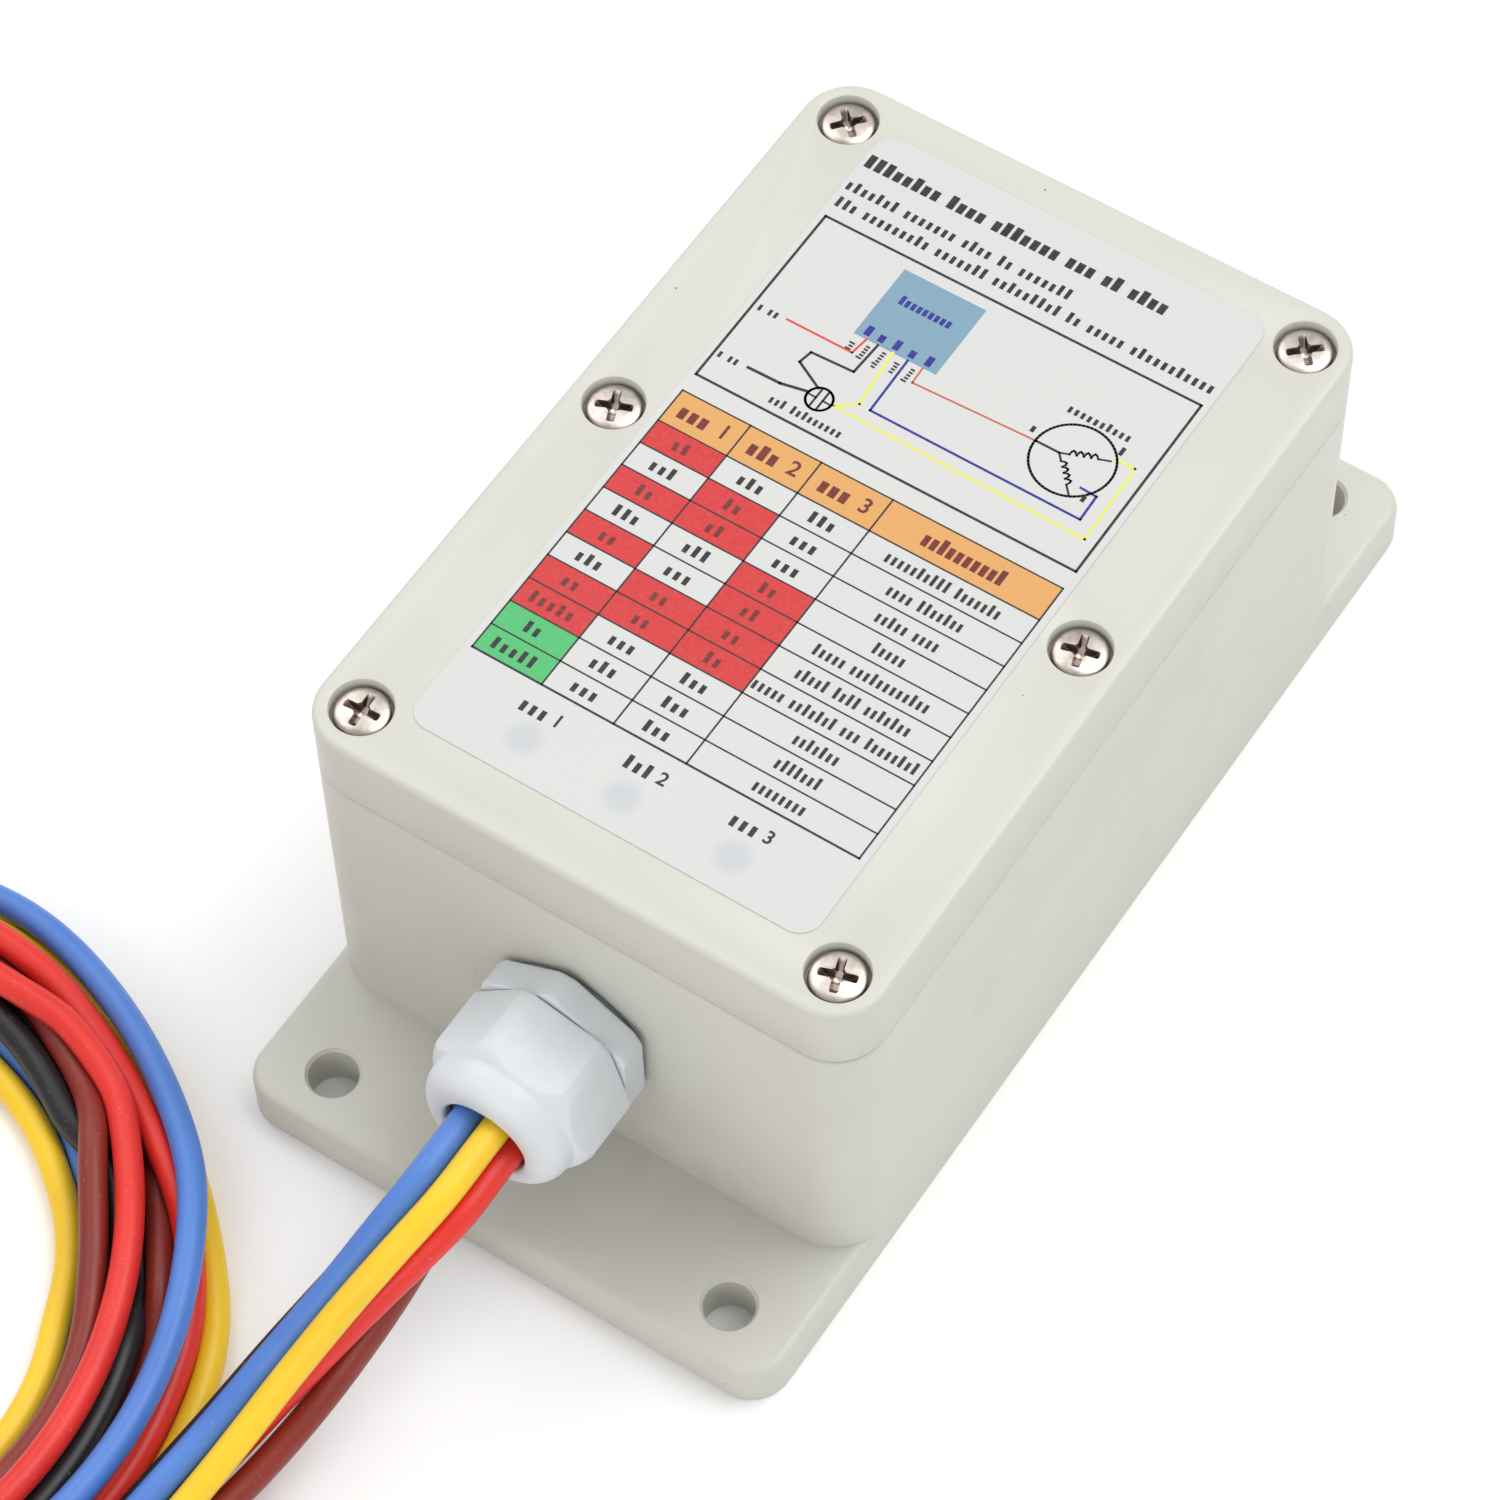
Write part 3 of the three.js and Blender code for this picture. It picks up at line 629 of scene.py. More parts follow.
# ---- lid gasket -----------------------------------------------------------------------------
# A moulded cord of black foam rubber in the lid's groove, squeezed a little onto the box's rim.
rubber = Finish("black_rubber", Roughness=0.85)
rubber.tint(rubber.noise(3), paint(38, 38, 40), paint(52, 52, 54))
rubber.bumps(rubber.noise(0.3, 2), 0.4, 0.05)
cord_levels = []
for inset, drop in ((0.95, 0), (0.95, 0.9), (1.15, 1.25), (1.95, 1.25), (2.15, 0.9), (2.15, 0)):
    rim = outline(BOX_WIDTH - 2 * inset, BOX_LENGTH - 2 * inset, BOX_CORNER - inset)
    cord_levels.append([(x, y, SEAM_HEIGHT + 1.3 - drop) for x, y in rim])
gasket = solid("gasket_cord", cord_levels, closed=True)
smooth(gasket)
place_piece(gasket, rubber.material, "lid", "gasket", "lid_gasket")

# ---- label ----------------------------------------------------------------------------------
# A white vinyl film stuck on the lid, thin enough for the three lamps to show as faint grey
# windows. The film has round corners and a satin overlay.
LABEL_WIDTH, LABEL_LENGTH, LABEL_CORNER = 57.4, 106.4, 3
LABEL_MIDDLE = 1.1
LABEL_TOP = 64.15
FAINT_WINDOWS = [(-14.9, -46.8), (-0.5, -47.4), (15, -47.2)]

label = layered("label_film", [
    (height, LABEL_WIDTH - trim, LABEL_LENGTH - trim, LABEL_CORNER - trim / 2)
    for height, trim in ((BOX_HEIGHT, 0), (LABEL_TOP - 0.04, 0), (LABEL_TOP, 0.1))])
smooth(shifted(label, 0, LABEL_MIDDLE, 0))
film = Finish("label_film", Roughness=0.33, IOR=1.46)
across, along = film.axis("X"), film.axis("Y")
window = 0
for x, y in FAINT_WINDOWS:
    square = (across - x) * (across - x) + (along - y) * (along - y)
    window = square.sum("SQRT", square).eased(3.2, 1.2) + window
film_shade = film.mix(film.noise(25).eased(0.3, 0.8) * 0.5, paint(201, 202, 199), paint(197, 198, 197))
film.tint(window * 0.5, film_shade, paint(176, 180, 190))
film.rough(0.1, 0.3, 12)
film.bumps(film.noise(0.8, 2) + film.noise(20) * 3, 0.12, 0.03)
place_piece(label, film.material, "lid", "label", "label_sheet")

# ---- label print ----------------------------------------------------------------------------
# Screen-printed inks on the film: a lamp table, a wiring picture, and rows of small blocks where
# words would be. Each ink is a layer a few hundredths of a millimetre thick.
TABLE_COLUMNS = [-27.6, -17.5, -7.1, 3.3, 27.6]
TABLE_TOP, TABLE_HEADER, TABLE_BOTTOM = 6.1, 0.65, -39.4
LIT_CELLS = ["R..", ".R.", "RR.", "..R", "R.R", ".RR", "RRR", "R..", "G..", "G.."]
FLASHING_ROWS = (7, 9)
# How many blocks each word of the last column has.
FINDINGS = [(10, 7), (4, 7), (5, 4), (5,), (5, 12), (5, 4, 7), (5, 7, 3, 8), (7,), (7,), (8,)]
FRAME = (-27.6, 27.6, 9.05, 38.7)
FILL_TOP, LINE_TOP, WORD_TOP = LABEL_TOP + 0.012, LABEL_TOP + 0.02, LABEL_TOP + 0.024
INKS = {
    "black": paint(30, 29, 32), "maroon": paint(104, 30, 26), "orange": paint(209, 154, 88),
    "red": paint(196, 44, 46), "green": paint(72, 176, 104), "sky": paint(117, 150, 170),
    "signal_red": paint(206, 60, 48), "rust": paint(190, 92, 66), "yellow": paint(218, 217, 88),
    "navy": paint(30, 34, 136),
}
inks = {ink: bmesh.new() for ink in INKS}
writer = random.Random(11)


def patch(ink, points, top):
    """A flat printed area with these corners, anticlockwise."""
    mesh = inks[ink]
    lower = [mesh.verts.new(Vector((x, y, LABEL_TOP - 0.01)) * MM) for x, y in points]
    upper = [mesh.verts.new(Vector((x, y, top)) * MM) for x, y in points]
    mesh.faces.new(upper)
    mesh.faces.new(list(reversed(lower)))
    for i in range(len(points)):
        j = (i + 1) % len(points)
        mesh.faces.new((lower[i], lower[j], upper[j], upper[i]))


def rectangle(ink, left, right, front, back, top=FILL_TOP):
    patch(ink, [(left, front), (right, front), (right, back), (left, back)], top)


def stroke(ink, points, width=0.28, top=LINE_TOP):
    """A printed line through these points."""
    for (x0, y0), (x1, y1) in zip(points, points[1:]):
        length = math.hypot(x1 - x0, y1 - y0)
        dx, dy = (x1 - x0) / length * width / 2, (y1 - y0) / length * width / 2
        patch(ink, [(x0 - dx + dy, y0 - dy - dx), (x1 + dx + dy, y1 + dy - dx),
                    (x1 + dx - dy, y1 + dy + dx), (x0 - dx - dy, y0 - dy + dx)], top)


def ring_line(ink, x, y, radius, width=0.3, steps=40):
    turns = [math.tau * i / steps for i in range(steps + 1)]
    stroke(ink, [(x + radius * math.cos(turn), y + radius * math.sin(turn)) for turn in turns], width)


def words(ink, lengths, x, y, letter, height, bold=0.62, centred=True, degrees=0):
    """Small blocks in rows where words of these lengths would be."""
    space = 0.75 * letter
    at = -(sum(lengths) * letter + space * (len(lengths) - 1)) / 2 if centred else 0
    cos, sin = math.cos(math.radians(degrees)), math.sin(math.radians(degrees))
    for length in lengths:
        for _ in range(length):
            foot = -height / 2
            head = foot + height * writer.choice((0.74, 0.74, 0.74, 1.0))
            end = at + letter * bold
            corners = [(at, foot), (end, foot), (end, head), (at, head)]
            patch(ink, [(x + u * cos - v * sin, y + u * sin + v * cos) for u, v in corners], WORD_TOP)
            at += letter
        at += space


def numeral(ink, number, x, y, height):
    """A printed numeral, its digits this high."""
    text = bpy.data.curves.new("numeral", "FONT")
    text.body, text.size = number, height * 1.38 * MM
    text.extrude, text.offset = 0.01 * MM, 0.02 * height * MM
    text.align_x, text.align_y = "CENTER", "CENTER"
    holder = shown("numeral", text)
    bpy.context.view_layer.update()
    shape = bpy.data.meshes.new_from_object(holder.evaluated_get(bpy.context.evaluated_depsgraph_get()))
    shape.transform(Matrix.Translation(Vector((x, y, WORD_TOP - 0.008)) * MM))
    inks[ink].from_mesh(shape)
    bpy.data.objects.remove(holder)
    bpy.data.meshes.remove(shape)


# Three lines of heading.
words("black", (8, 4, 7, 3, 2, 4), -28.0, 49.2, 1.41, 2.2, 0.7, False)
words("black", (7, 7, 4, 2, 7), -28.0, 44.6, 1.12, 1.7, 0.5, False)
words("black", (3, 9, 7, 9, 2, 5, 11), -27.7, 41.6, 1.105, 1.7, 0.5, False)

# Wiring picture: supply, control, capacitor and motor windings.
left, right, front, back = FRAME
stroke("black", [(left, front), (right, front), (right, back), (left, back), (left, front)], 0.36)
rectangle("sky", -14.6, -2.5, 25, 36.9)
words("navy", (9,), -8.6, 32.6, 0.86, 1.5, 0.68)
for x in (-13.0, -11.0, -8.8, -6.5, -4.1):
    words("navy", (1,), x, 26.3, 1.1, 1.6, 0.8)
words("black", (1, 2), -25.2, 22.2, 0.85, 1.3, 0.5)
words("black", (1, 2), -25.4, 13.4, 0.85, 1.3, 0.5)
stroke("signal_red", [(-22.7, 22.3), (-13.1, 22.3), (-12.7, 25)], 0.3)
stroke("black", [(-22.7, 13.4), (-18, 13.5), (-14.4, 14.3)], 0.42)
stroke("black", [(-11.0, 25), (-11.3, 19.9), (-17.4, 19.6), (-17.8, 17.6), (-13.6, 15.4)], 0.36)
ring_line("black", -12.6, 14.05, 1.75, 0.34)
for x in (-13.1, -12.1):
    stroke("black", [(x, 12.7), (x, 15.4)], 0.3)
stroke("black", [(-14.4, 14.1), (-13.1, 14.05)], 0.26)
stroke("black", [(-12.1, 14.05), (-10.9, 14.0)], 0.26)
words("black", (3, 9), -12.4, 10.9, 0.84, 1.3, 0.5)
stroke("yellow", [(-8.8, 25), (-8.0, 16.1), (-10.8, 14.1), (26, 13.7), (25.7, 26), (22.9, 26)], 0.34)
stroke("navy", [(-6.6, 25), (-6.4, 16), (24, 15.9), (23.9, 19.9), (21.6, 20)], 0.34)
stroke("rust", [(-4.4, 25), (-4.3, 22.4), (13.4, 23.1)], 0.26)
for x, count in ((-13.9, 3), (-12.0, 5), (-9.8, 6), (-7.5, 4), (-5.4, 5)):
    words("black", (count,), x, 23.2, 0.5, 0.8, 0.55, degrees=88)
ring_line("black", 18.6, 23.0, 5.45, 0.34, 64)
words("black", (10,), 18.7, 29.6, 0.92, 1.3, 0.5)
stroke("black", [(13.3, 23.1), (16.6, 23.1)], 0.34)
star_point = Vector((16.6, 23.1))
for end in (Vector((22.6, 25.4)), Vector((20.9, 18.3))):
    reach = end - star_point
    side = Vector((-reach.y, reach.x)).normalized() * 0.5
    winding = [star_point, star_point + reach * 0.2]
    for turn in range(4):
        for share in (0.25, 0.5, 0.75, 1):
            bulge = math.sin(share * math.pi) * 1.3
            winding.append(star_point + reach * (0.2 + (turn + share) * 0.14) + side * bulge)
    stroke("black", [tuple(point) for point in winding + [end]], 0.28)
for x, y in ((12.3, 24.6), (23.3, 27.4), (23.0, 18.9)):
    words("black", (1,), x, y, 1.1, 1.3, 0.5)

# Lamp table: orange heading, red and green cells where a lamp shows, and its ruled lines.
row_height = (TABLE_HEADER - TABLE_BOTTOM) / len(LIT_CELLS)
table_left, table_right = TABLE_COLUMNS[0], TABLE_COLUMNS[-1]
heading_middle = (TABLE_TOP + TABLE_HEADER) / 2
rectangle("orange", table_left, table_right, TABLE_HEADER, TABLE_TOP)
for column in range(3):
    middle = (TABLE_COLUMNS[column] + TABLE_COLUMNS[column + 1]) / 2
    words("maroon", (3,), middle - 1.3, heading_middle, 1.5, 2.3, 0.68)
    numeral("maroon", str(column + 1), middle + 2.9, heading_middle, 2.3)
words("maroon", (10,), 15.4, heading_middle, 1.18, 2.3, 0.7)
for row, lit in enumerate(LIT_CELLS):
    back = TABLE_HEADER - row * row_height
    front = back - row_height
    for column, lamp in enumerate(lit):
        left, right = TABLE_COLUMNS[column], TABLE_COLUMNS[column + 1]
        if lamp != ".":
            rectangle({"R": "red", "G": "green"}[lamp], left, right, front, back)
        count = 3 if lamp == "." else 5 if row in FLASHING_ROWS else 2
        ink = "maroon" if lamp == "R" else "black"
        words(ink, (count,), (left + right) / 2, (front + back) / 2, 1.32, 1.75, 0.5)
    words("black", FINDINGS[row], 15.4, (front + back) / 2, 0.93, 1.75, 0.5)
    stroke("black", [(table_left, back), (table_right, back)], 0.22)
for y, width in ((TABLE_TOP, 0.22), (TABLE_BOTTOM, 0.3)):
    stroke("black", [(table_left, y), (table_right, y)], width)
for x in TABLE_COLUMNS:
    stroke("black", [(x, TABLE_BOTTOM), (x, TABLE_TOP)], 0.24)
for number, x in enumerate((-15, 0, 15)):
    words("black", (3,), x - 0.9, -42.8, 1.35, 2, 0.5)
    numeral("black", str(number + 1), x + 2.2, -42.8, 1.9)

for ink, shade in INKS.items():
    print_layer = finished(f"ink_{ink}", inks[ink])
    ink_finish = Finish(f"ink_{ink}", IOR=1.46)
    thin = tuple(0.8 * level + 0.16 for level in shade[:3]) + (1,)
    worn_off = ink_finish.noise(0.5, 2).eased(0.35, 0.8)
    ink_finish.tint(worn_off * 0.14, shade, thin)
    ink_finish.rough(0.12, 0.3, 9)
    ink_finish.bumps(ink_finish.noise(0.4, 2), 0.1, 0.01)
    place_piece(print_layer, ink_finish.material, "lid", "label")

# ---- lid screws -----------------------------------------------------------------------------
# Six M4 machine screws, nickel-plated steel, with pan heads and a cross recess. Each is driven
# into a brass insert and stops at a different turn.
SCREW_TURNS = [4, 18, 22, 15, 48, 42]
HEAD_RADIUS, HEAD_HEIGHT = 3.55, 1.8
SHANK_LENGTH, SHANK_RADIUS, THREAD_PITCH = 21, 1.8, 0.7

nickel = Finish("nickel", Metallic=1.0)
worn = nickel.noise(1.6, 4).eased(0.4, 0.7)
# Painted shade: a dark brown band from 61.7 to 63.3 mm up darkens the cross recess and the head's side
# down in its well.
recess_shade = nickel.axis("Z").eased(63.3, 62.8) * nickel.axis("Z").eased(61.7, 62.2)
plating = nickel.mix(worn, paint(214, 205, 196), paint(188, 177, 168))
nickel.tint(recess_shade * 0.8, plating, paint(98, 80, 70))
nickel.rough(0.25, 0.2, 0.9, 4)
nickel.bumps(nickel.noise(0.25, 3) + nickel.noise(1.5), 0.25, 0.02)


def thread(name, radius, pitch, low, high, depth=0.25, sides=28, taper=1.2):
    """A round bar with a screw thread cut in it."""
    rows = int((high - low) / pitch * 6)
    rings = []
    for row in range(rows + 1):
        z = low + (high - low) * row / rows
        point = max(0, 1 - (z - low) / taper) * 0.5
        radii = [radius - depth * abs(2 * ((z / pitch - i / sides) % 1) - 1) - point
                 for i in range(sides)]
        rings.append([(x, y, z) for x, y in around(radii)])
    return solid(name, rings)


for number, (x, y) in enumerate(SCREW_PLACES):
    head = turned("screw", [(0, -0.4), (1.7, -0.4), (1.7, 0), (3.4, 0), (3.52, 0.12), (HEAD_RADIUS, 0.35),
                            (HEAD_RADIUS, 1.1), (3.46, 1.35), (3.2, 1.53), (2.7, 1.64), (2, 1.71),
                            (1.1, 1.77), (0, HEAD_HEIGHT)], 56)
    rim = HEAD_HEIGHT + 0.3
    slots = []
    for degrees in (0, 90):
        slot = layered("slot", [(HEAD_HEIGHT - 1.45, 2.6, 0.75, 0.2), (HEAD_HEIGHT - 0.7, 4.1, 1.0, 0.25),
                                (rim, 5.4, 1.15, 0.3)], 3)
        slots.append(spun(slot, degrees))
    slots.append(turned("pit", [(0, 0.05), (0.55, 0.35), (1.15, rim), (0, rim)], 24))
    joined(head, slots)
    joined(head, [thread("shank", SHANK_RADIUS, THREAD_PITCH, -SHANK_LENGTH, -0.2)], "UNION")
    head.name = f"cross_screw_{number + 1}"
    smooth(shifted(spun(head, SCREW_TURNS[number]), x, y, WELL_FLOOR + 0.05), 28)
    screw = f"lid_screw_{number + 1}"
    place_piece(head, nickel.material, screw, "nickel", screw)

# ---- cable gland ----------------------------------------------------------------------------
# A white nylon gland, 21 mm across flats: a hexagonal body screwed through the front wall, and a
# nut with a round nose that squeezes a slotted cage and a rubber seal onto the leads.
GLAND_FLATS = 21
NUT_TURN = 45


def hexagon(name, flats, low, high, degrees, profile):
    """A hexagonal bar on the gland's axis, cut back to the turned profile."""
    corners = around([flats / math.sqrt(3)] * 6)
    made = solid(name, [[(x, y, z) for x, y in corners] for z in (low, high)])
    on_gland(spun(made, degrees))
    limit = turned("limit", profile, 96, lying=True)
    within(made, limit)
    bpy.data.objects.remove(limit)
    return made


def moulded_soft(piece, voxel=0.25, rounds=2):
    """Rounds every edge a little, as a moulding has them."""
    worked(piece, "REMESH", mode="VOXEL", voxel_size=voxel * MM)
    worked(piece, "SMOOTH", factor=0.5, iterations=rounds)
    smooth(piece, 60)


nylon = Finish("white_nylon", Roughness=0.42, IOR=1.53, Subsurface_Weight=0.12, Subsurface_Scale=0.002)
cloud = nylon.noise(7).eased(0.35, 0.75)
nylon.tint(cloud * 0.6, paint(212, 217, 221), paint(203, 209, 214))
nylon.rough(0.16, 0.34, 4)
nylon.bumps(nylon.noise(0.5, 3) + nylon.noise(3) * 2, 0.3, 0.04)

body = hexagon("gland_hex", GLAND_FLATS, 0.8, 5, 30,
               [(0, 0.7), (11.2, 0.7), (11.75, 1.2), (11.75, 4.7), (11.5, 5.0), (0, 5.0)])
joined(body, [turned("barrel", [(0, -8.4), (8.5, -8.4), (8.8, -8), (8.8, 1), (8.5, 4), (8.4, 13),
                                (8, 13.4), (0, 13.4)], 64, lying=True)], "UNION")
joined(body, [turned("bore", [(0, -20), (6.7, -20), (6.7, 20), (0, 20)], 64, lying=True)])
moulded_soft(body)
place_piece(body, nylon.material, "box", "nylon", "gland_body")

nut = hexagon("gland_cap_nut", GLAND_FLATS, 5.15, 16, NUT_TURN,
              [(0, 5.15), (11.5, 5.15), (11.75, 5.4), (11.75, 13.4), (11.3, 14.5), (10.6, 15.3),
               (10.0, 15.7), (9.7, 16.1), (0, 16.1)])
arc = [math.radians(9 * step) for step in range(1, 11)]
dome = [(0, 15), (10.15, 15), (10.15, 16)]
dome += [(7.0 + 3.15 * math.cos(a), 16.2 + 3.75 * math.sin(a)) for a in arc] + [(0, 19.95)]
joined(nut, [turned("nose", dome, 96, lying=True)], "UNION")
joined(nut, [turned("room", [(0, 4), (9, 4), (9, 14.4), (7.4, 18.2), (5.75, 18.5), (5.75, 19.4),
                             (6.2, 20.3), (0, 20.3)], 72, lying=True)])
moulded_soft(nut)
place_piece(nut, nylon.material, "gland_nut", "nylon", "gland_nut")

cage = turned("gland_fingers", [(6.7, 13.5), (7.9, 13.5), (7.9, 14.3), (7.1, 16.6), (6.6, 16.6)], 64,
              closed=True, lying=True)
cuts = []
for i in range(8):
    cut = spun(layered("cut", [(5, 1, 4, 0.1), (9, 1, 4, 0.1)], 2), 90, "Y")
    spun(shifted(cut, 0, -16.5, 0), 22.5 + 45 * i, "Y")
    cuts.append(shifted(cut, 0, -BOX_LENGTH / 2, GLAND_HEIGHT))
joined(cage, cuts)
smooth(cage)
place_piece(cage, nylon.material, "box", "nylon", "gland_cage")

grey_rubber = Finish("grey_rubber", Roughness=0.7)
dust = grey_rubber.noise(2)
grey_rubber.tint(dust, paint(126, 130, 136), paint(104, 108, 114))
grey_rubber.bumps(grey_rubber.noise(0.3, 2), 0.4, 0.04)
for name, profile, finish, body, slot, node in (
        ("seal_sleeve", [(5.75, 5.2), (6.35, 5), (6.35, 16.9), (6.1, 17), (5.8, 16.8), (5.6, 16),
                         (5.6, 6)], grey_rubber, "box", "rubber", "gland_seal"),
        ("flat_washer", [(9.2, 0.02), (9.7, 0.02), (9.9, 0.2), (9.9, 0.6), (9.7, 0.78), (9.2, 0.78)],
         grey_rubber, "box", "rubber", "gland_washer"),
        ("press_washer", [(5.85, 17.25), (7.05, 17.22), (6.9, 17.85), (5.95, 17.88)],
         nylon, "gland_press_ring", "nylon", "gland_press_ring")):
    ring = turned(name, profile, 64, closed=True, lying=True)
    smooth(ring, 50)
    place_piece(ring, finish.material, body, slot, node)
locknut = hexagon("wall_locknut", 22, -7.5, -3, 30,
                  [(0, -7.6), (11.6, -7.6), (12.2, -7), (12.2, -3.5), (11.6, -2.9), (0, -2.9)])
joined(locknut, [turned("bore", [(0, -20), (9.2, -20), (9.2, 20), (0, 20)], 64, lying=True)])
smooth(locknut)
place_piece(locknut, nylon.material, "box", "nylon", "gland_locknut")

# ---- brass inserts --------------------------------------------------------------------------
# Knurled brass nuts pressed hot into the bosses, which take the lid screws.
brass = Finish("brass", Metallic=1.0)
brass.tint(brass.noise(1.5, 4), paint(196, 152, 84), paint(160, 118, 62))
brass.rough(0.25, 0.25, 0.8)
brass.bumps(brass.noise(0.3), 0.3, 0.02)
INSERT_RADIUS = 2.9
INSERT_PROFILE = [(2.15, 43.1), (2.7, 43), (INSERT_RADIUS, 43.3), (INSERT_RADIUS, 46.4), (2.6, 46.7),
                  (2.6, 47.6), (INSERT_RADIUS, 47.9), (INSERT_RADIUS, 52.4), (2.6, 52.8), (2.3, 52.8),
                  (2.15, 52.6)]
KNURLS = 30
for number, (x, y) in enumerate(SCREW_PLACES):
    rings = []
    for radius, height in INSERT_PROFILE:
        valley = radius * (1 - 0.035 * (radius == INSERT_RADIUS))
        rings.append([(u, v, height) for u, v in around([radius, valley] * KNURLS)])
    insert = shifted(solid(f"knurled_insert_{number + 1}", rings, closed=True), x, y, 0)
    smooth(insert, 20)
    place_piece(insert, brass.material, "box", "brass", f"boss_insert_{number + 1}")

# ---- circuit boards -------------------------------------------------------------------------
# Green glass-fibre boards: a power board on four posts, and a small lamp board under the lid.
# Tinned pads show as scattered, slightly raised, lighter spots in the solder mask.
def solder_mask(name):
    mask = Finish(name, Coat_Weight=0.4, Coat_Roughness=0.15)
    weave = mask.node("ShaderNodeTexBrick", None, {
        "Vector": mask.place, "Scale": 210.0, "Mortar Size": 0.06,
        "Color1": (1, 1, 1, 1), "Color2": (0.75, 0.75, 0.75, 1), "Mortar": (0, 0, 0, 1)})
    pads = mask.cells(4.2) < 0.12
    shade = mask.mix(weave, paint(42, 110, 68), paint(24, 84, 50))
    mask.tint(pads, shade, paint(206, 204, 196))
    mask.set("Metallic", pads * 0.9)
    mask.rough(0.2, 0.32, 5)
    mask.bumps(pads + mask.noise(0.4), 0.3, 0.03)
    return mask.material


def kept(node, finish, edge=0.25, segments=2):
    """A part whose shape is right keeps it, with softened edges and a finish."""
    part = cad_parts[node]
    if edge:
        bevel = part.modifiers.new("edge", "BEVEL")
        bevel.width, bevel.segments, bevel.limit_method = edge * MM, segments, "ANGLE"
        bevel.angle_limit = math.radians(40)
    part.data.materials.clear()
    part.data.materials.append(finish)


kept("circuit_board", solder_mask("power_board_mask"), 0.1, 1)
kept("led_board", solder_mask("lamp_board_mask"), 0.1, 1)
for number in range(4):
    kept(f"board_screw_{number + 1}", nickel.material, 0.12)

# ---- board parts ----------------------------------------------------------------------------
# What switches and measures the compressor's current: moulded cases, a ribbed heatsink with its
# switch, a tall start capacitor, and small parts soldered between them.
BOARD_TOP = 12


def case_plastic(name, colour, dusk, gloss=0.4):
    case = Finish(name, IOR=1.5)
    case.tint(case.noise(8).eased(0.3, 0.8), colour, dusk)
    case.rough(0.18, gloss, 3)
    case.bumps(case.noise(0.35) + case.noise(3), 0.3, 0.03)
    return case.material


def moulded_case(name, node, finish, slot, corner=0.6, edge=0.45, rim=0.5):
    """A case the size of the node, with rounded edges, a thin foot and a shallow panel on top."""
    low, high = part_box(node)
    width, length, height = (high - low) / MM
    levels = [(0, width, length, corner), (1.0, width, length, corner)]
    width, length = width - rim, length - rim
    levels += [(1.1, width, length, corner)] + round_top(width, length, corner, 1.2, height, edge, 3)
    for depth, inset in ((0, 1.2), (0.25, 1.6)):
        levels.append((height - depth, width - 2 * edge - inset, length - 2 * edge - inset, 0.4))
    made = layered(name, levels, 4)
    made.data.transform(Matrix.Translation(((low.x + high.x) / 2, (low.y + high.y) / 2, low.z)))
    smooth(made, 30)
    place_piece(made, finish, "box", slot, node)


relay_black = case_plastic("relay_black", paint(34, 34, 37), paint(44, 44, 47))
relay_blue = case_plastic("relay_blue", paint(44, 92, 176), paint(36, 78, 154))
module_white = case_plastic("module_white", paint(206, 207, 203), paint(192, 193, 188))
case_yellow = case_plastic("case_yellow", paint(222, 186, 62), paint(206, 168, 48))
chip_black = case_plastic("chip_black", paint(28, 28, 30), paint(38, 38, 40))
moulded_case("power_relay", "run_relay", relay_black, "black")
moulded_case("signal_relay", "start_relay", relay_blue, "blue_case")
moulded_case("switch_module", "power_module", module_white, "white")
moulded_case("current_coil", "current_sensor", case_yellow, "yellow_case")
moulded_case("box_capacitor", "film_capacitor", case_yellow, "yellow_case")
moulded_case("control_chip", "microcontroller", chip_black, "black", 0.3, 0.15, 0.1)
kept("terminal_block", case_plastic("terminal_green", paint(48, 148, 92), paint(38, 126, 78)), 0.3)
kept("triac", case_plastic("epoxy_black", paint(30, 30, 32), paint(40, 40, 42)), 0.4)

aluminium = Finish("aluminium", Metallic=1.0)
drawn = aluminium.noise(0.5, 3, (6, 1, 0.15))
aluminium.tint(drawn, paint(184, 187, 190), paint(160, 163, 167))
aluminium.set("Roughness", drawn * 0.25 + 0.28)
aluminium.bumps(drawn, 0.3, 0.02)
kept("heatsink", aluminium.material, 0.25)

can = turned("capacitor_can", [(0, 0.1), (12, 0.1), (12.4, 0.5), (12.5, 1.4), (12.2, 2.2), (11.9, 2.7),
                               (12.2, 3.2), (12.5, 4), (12.5, 36.6), (12.3, 37.4), (11.7, 37.9), (11, 38),
                               (10.6, 37.7), (0, 37.7)], 72, place=(13.5, 27, BOARD_TOP))
smooth(can, 40)
sleeve = Finish("sleeve_film", Coat_Weight=0.3)
stripe = sleeve.axis("X") < 3.2
sleeve.tint(stripe, paint(38, 40, 48), paint(150, 154, 160))
sleeve.rough(0.15, 0.25, 4)
sleeve.bumps(sleeve.noise(2), 0.2, 0.04)
place_piece(can, sleeve.material, "box", "black", "start_capacitor")

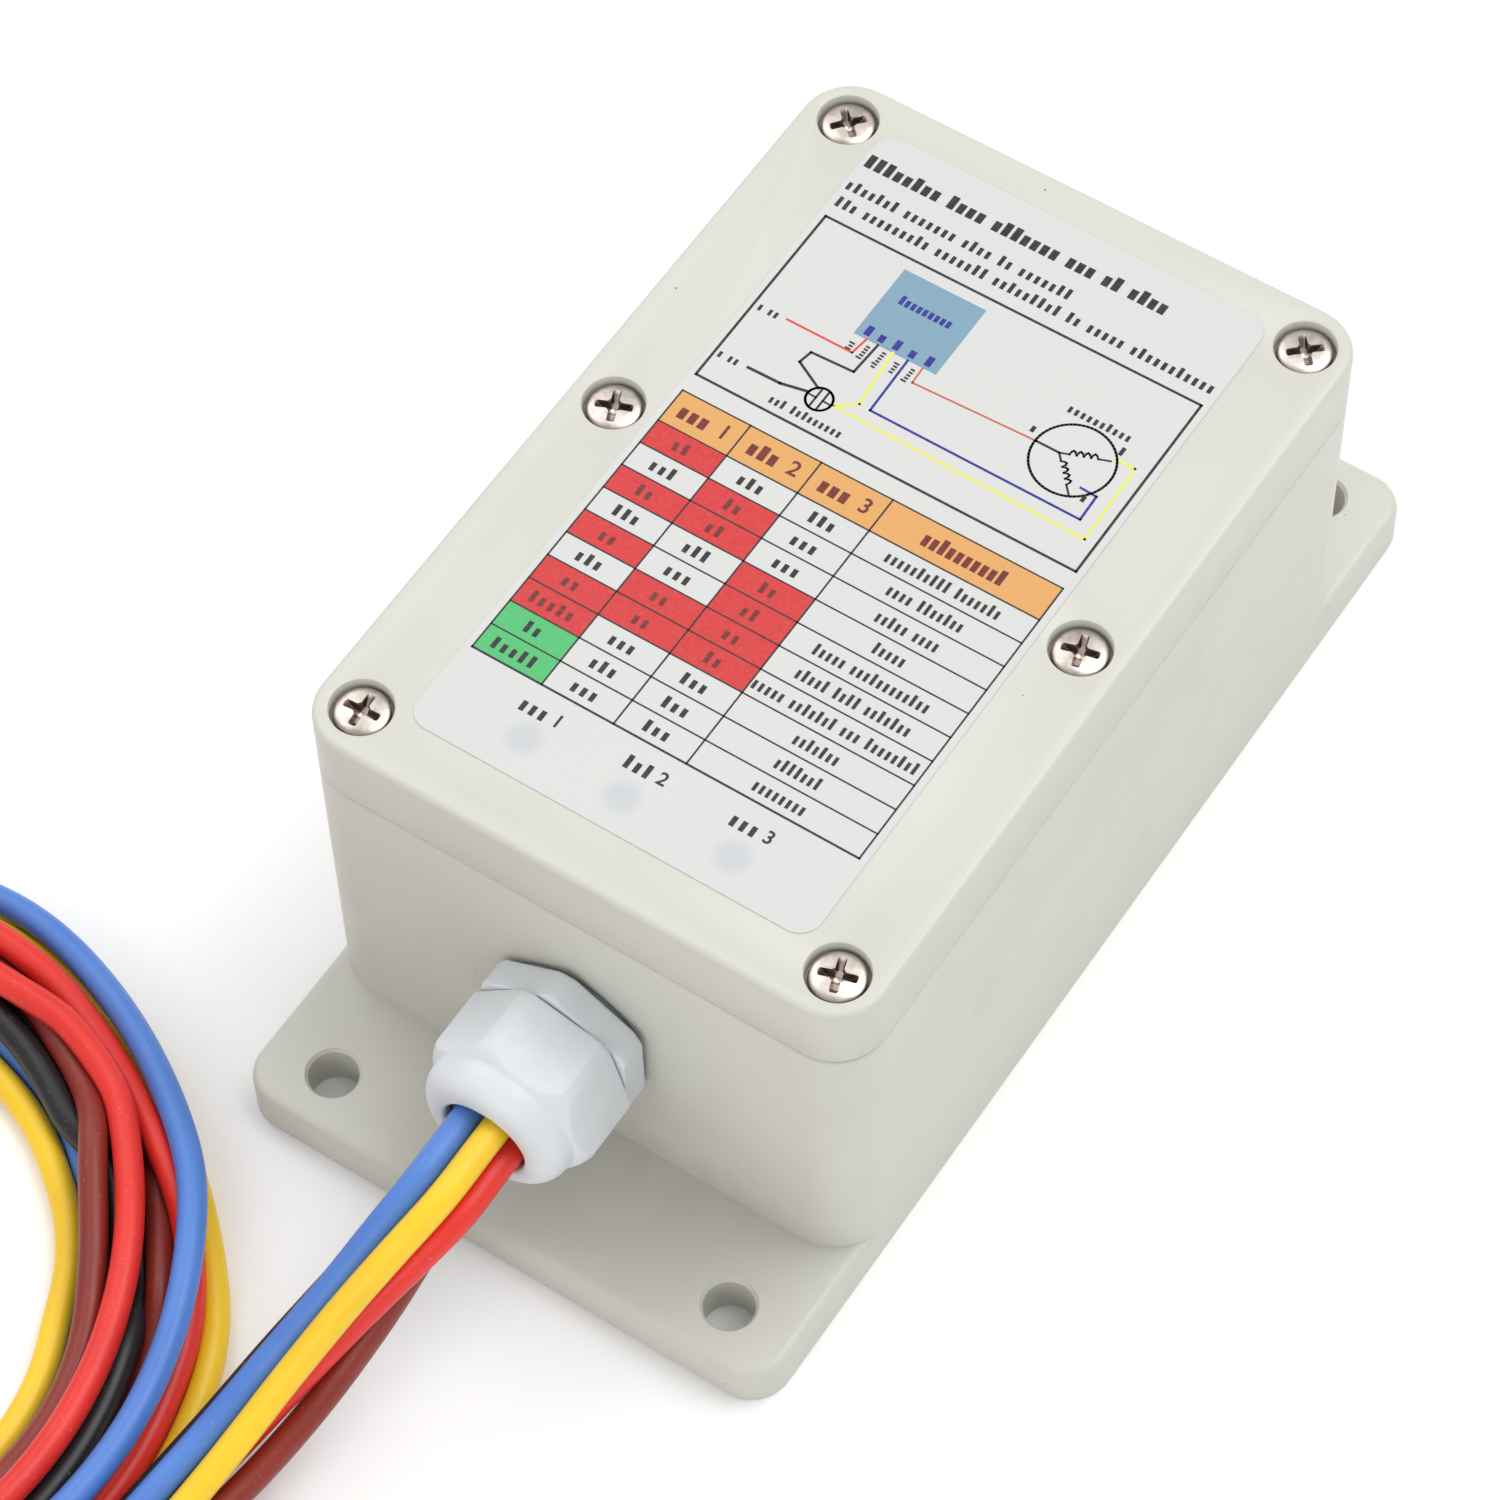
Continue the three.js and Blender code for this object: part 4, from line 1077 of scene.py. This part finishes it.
fuse = turned("fuse_tube", [(0, 0), (2.4, 0), (2.6, 0.2), (2.6, 4), (2.45, 4.2), (2.35, 4.3),
                            (2.35, 13.7), (2.45, 13.8), (2.6, 14), (2.6, 17.8), (2.4, 18),
                            (0, 18)], 40)
smooth(shifted(spun(fuse, 90, "X"), -24.3, -23, BOARD_TOP + 2.6), 40)
fuse_skin = Finish("fuse_skin")
ends = (fuse_skin.axis("Y") > -27.1) + (fuse_skin.axis("Y") < -36.9)
fuse_skin.tint(ends, paint(226, 226, 214), paint(206, 204, 198))
fuse_skin.set("Metallic", ends)
fuse_skin.rough(0.2, 0.22, 2)
place_piece(fuse, fuse_skin.material, "box", "glass", "fuse")

disc = turned("surge_disc", [(0, -2), (5.6, -2), (6.6, -1.5), (7, -0.5), (7, 0.5), (6.6, 1.5), (5.6, 2),
                             (0, 2)], 56)
shifted(spun(disc, 90, "Y"), 25, -31, BOARD_TOP + 8.5)
leg = [(0, 0), (0.45, 0), (0.45, 6), (0, 6)]
joined(disc, [turned("leg", leg, 16, place=(25, y, BOARD_TOP)) for y in (-35, -27)], "UNION")
smooth(disc, 40)
disc_blue = case_plastic("disc_blue", paint(48, 98, 166), paint(38, 84, 148), 0.3)
place_piece(disc, disc_blue, "box", "ceramic", "varistor")

# ---- status lamps ---------------------------------------------------------------------------
# Three 5 mm lamps with clear round lenses, standing on the lamp board in the lid's holes.
lens = Finish("lamp_lens", IOR=1.5, Transmission_Weight=0.35)
lens.tint(lens.noise(2), paint(226, 232, 230), paint(214, 221, 220))
lens.rough(0.12, 0.12, 1.5)
arc = [math.radians(15 * step) for step in range(1, 6)]
lens_profile = [(0, 0), (2.8, 0), (2.8, 1), (2.5, 1.05), (2.5, 4.6)]
lens_profile += [(2.5 * math.cos(a), 4.6 + 2.4 * math.sin(a)) for a in arc] + [(0, 7)]
for number, (x, y) in enumerate(LAMP_PLACES):
    lamp_lens = turned(f"lamp_{number + 1}_lens", lens_profile, 36, place=(x, y, LAMP_FOOT))
    smooth(lamp_lens, 40)
    place_piece(lamp_lens, lens.material, "lid", "lens", f"led_{number + 1}")

# ---- leads inside ---------------------------------------------------------------------------
# The same five leads fan out from the gland to the terminal block inside the box.
for name in LEAD_PLACES:
    kept(f"inner_lead_{name}", lead_finishes[name], 0)
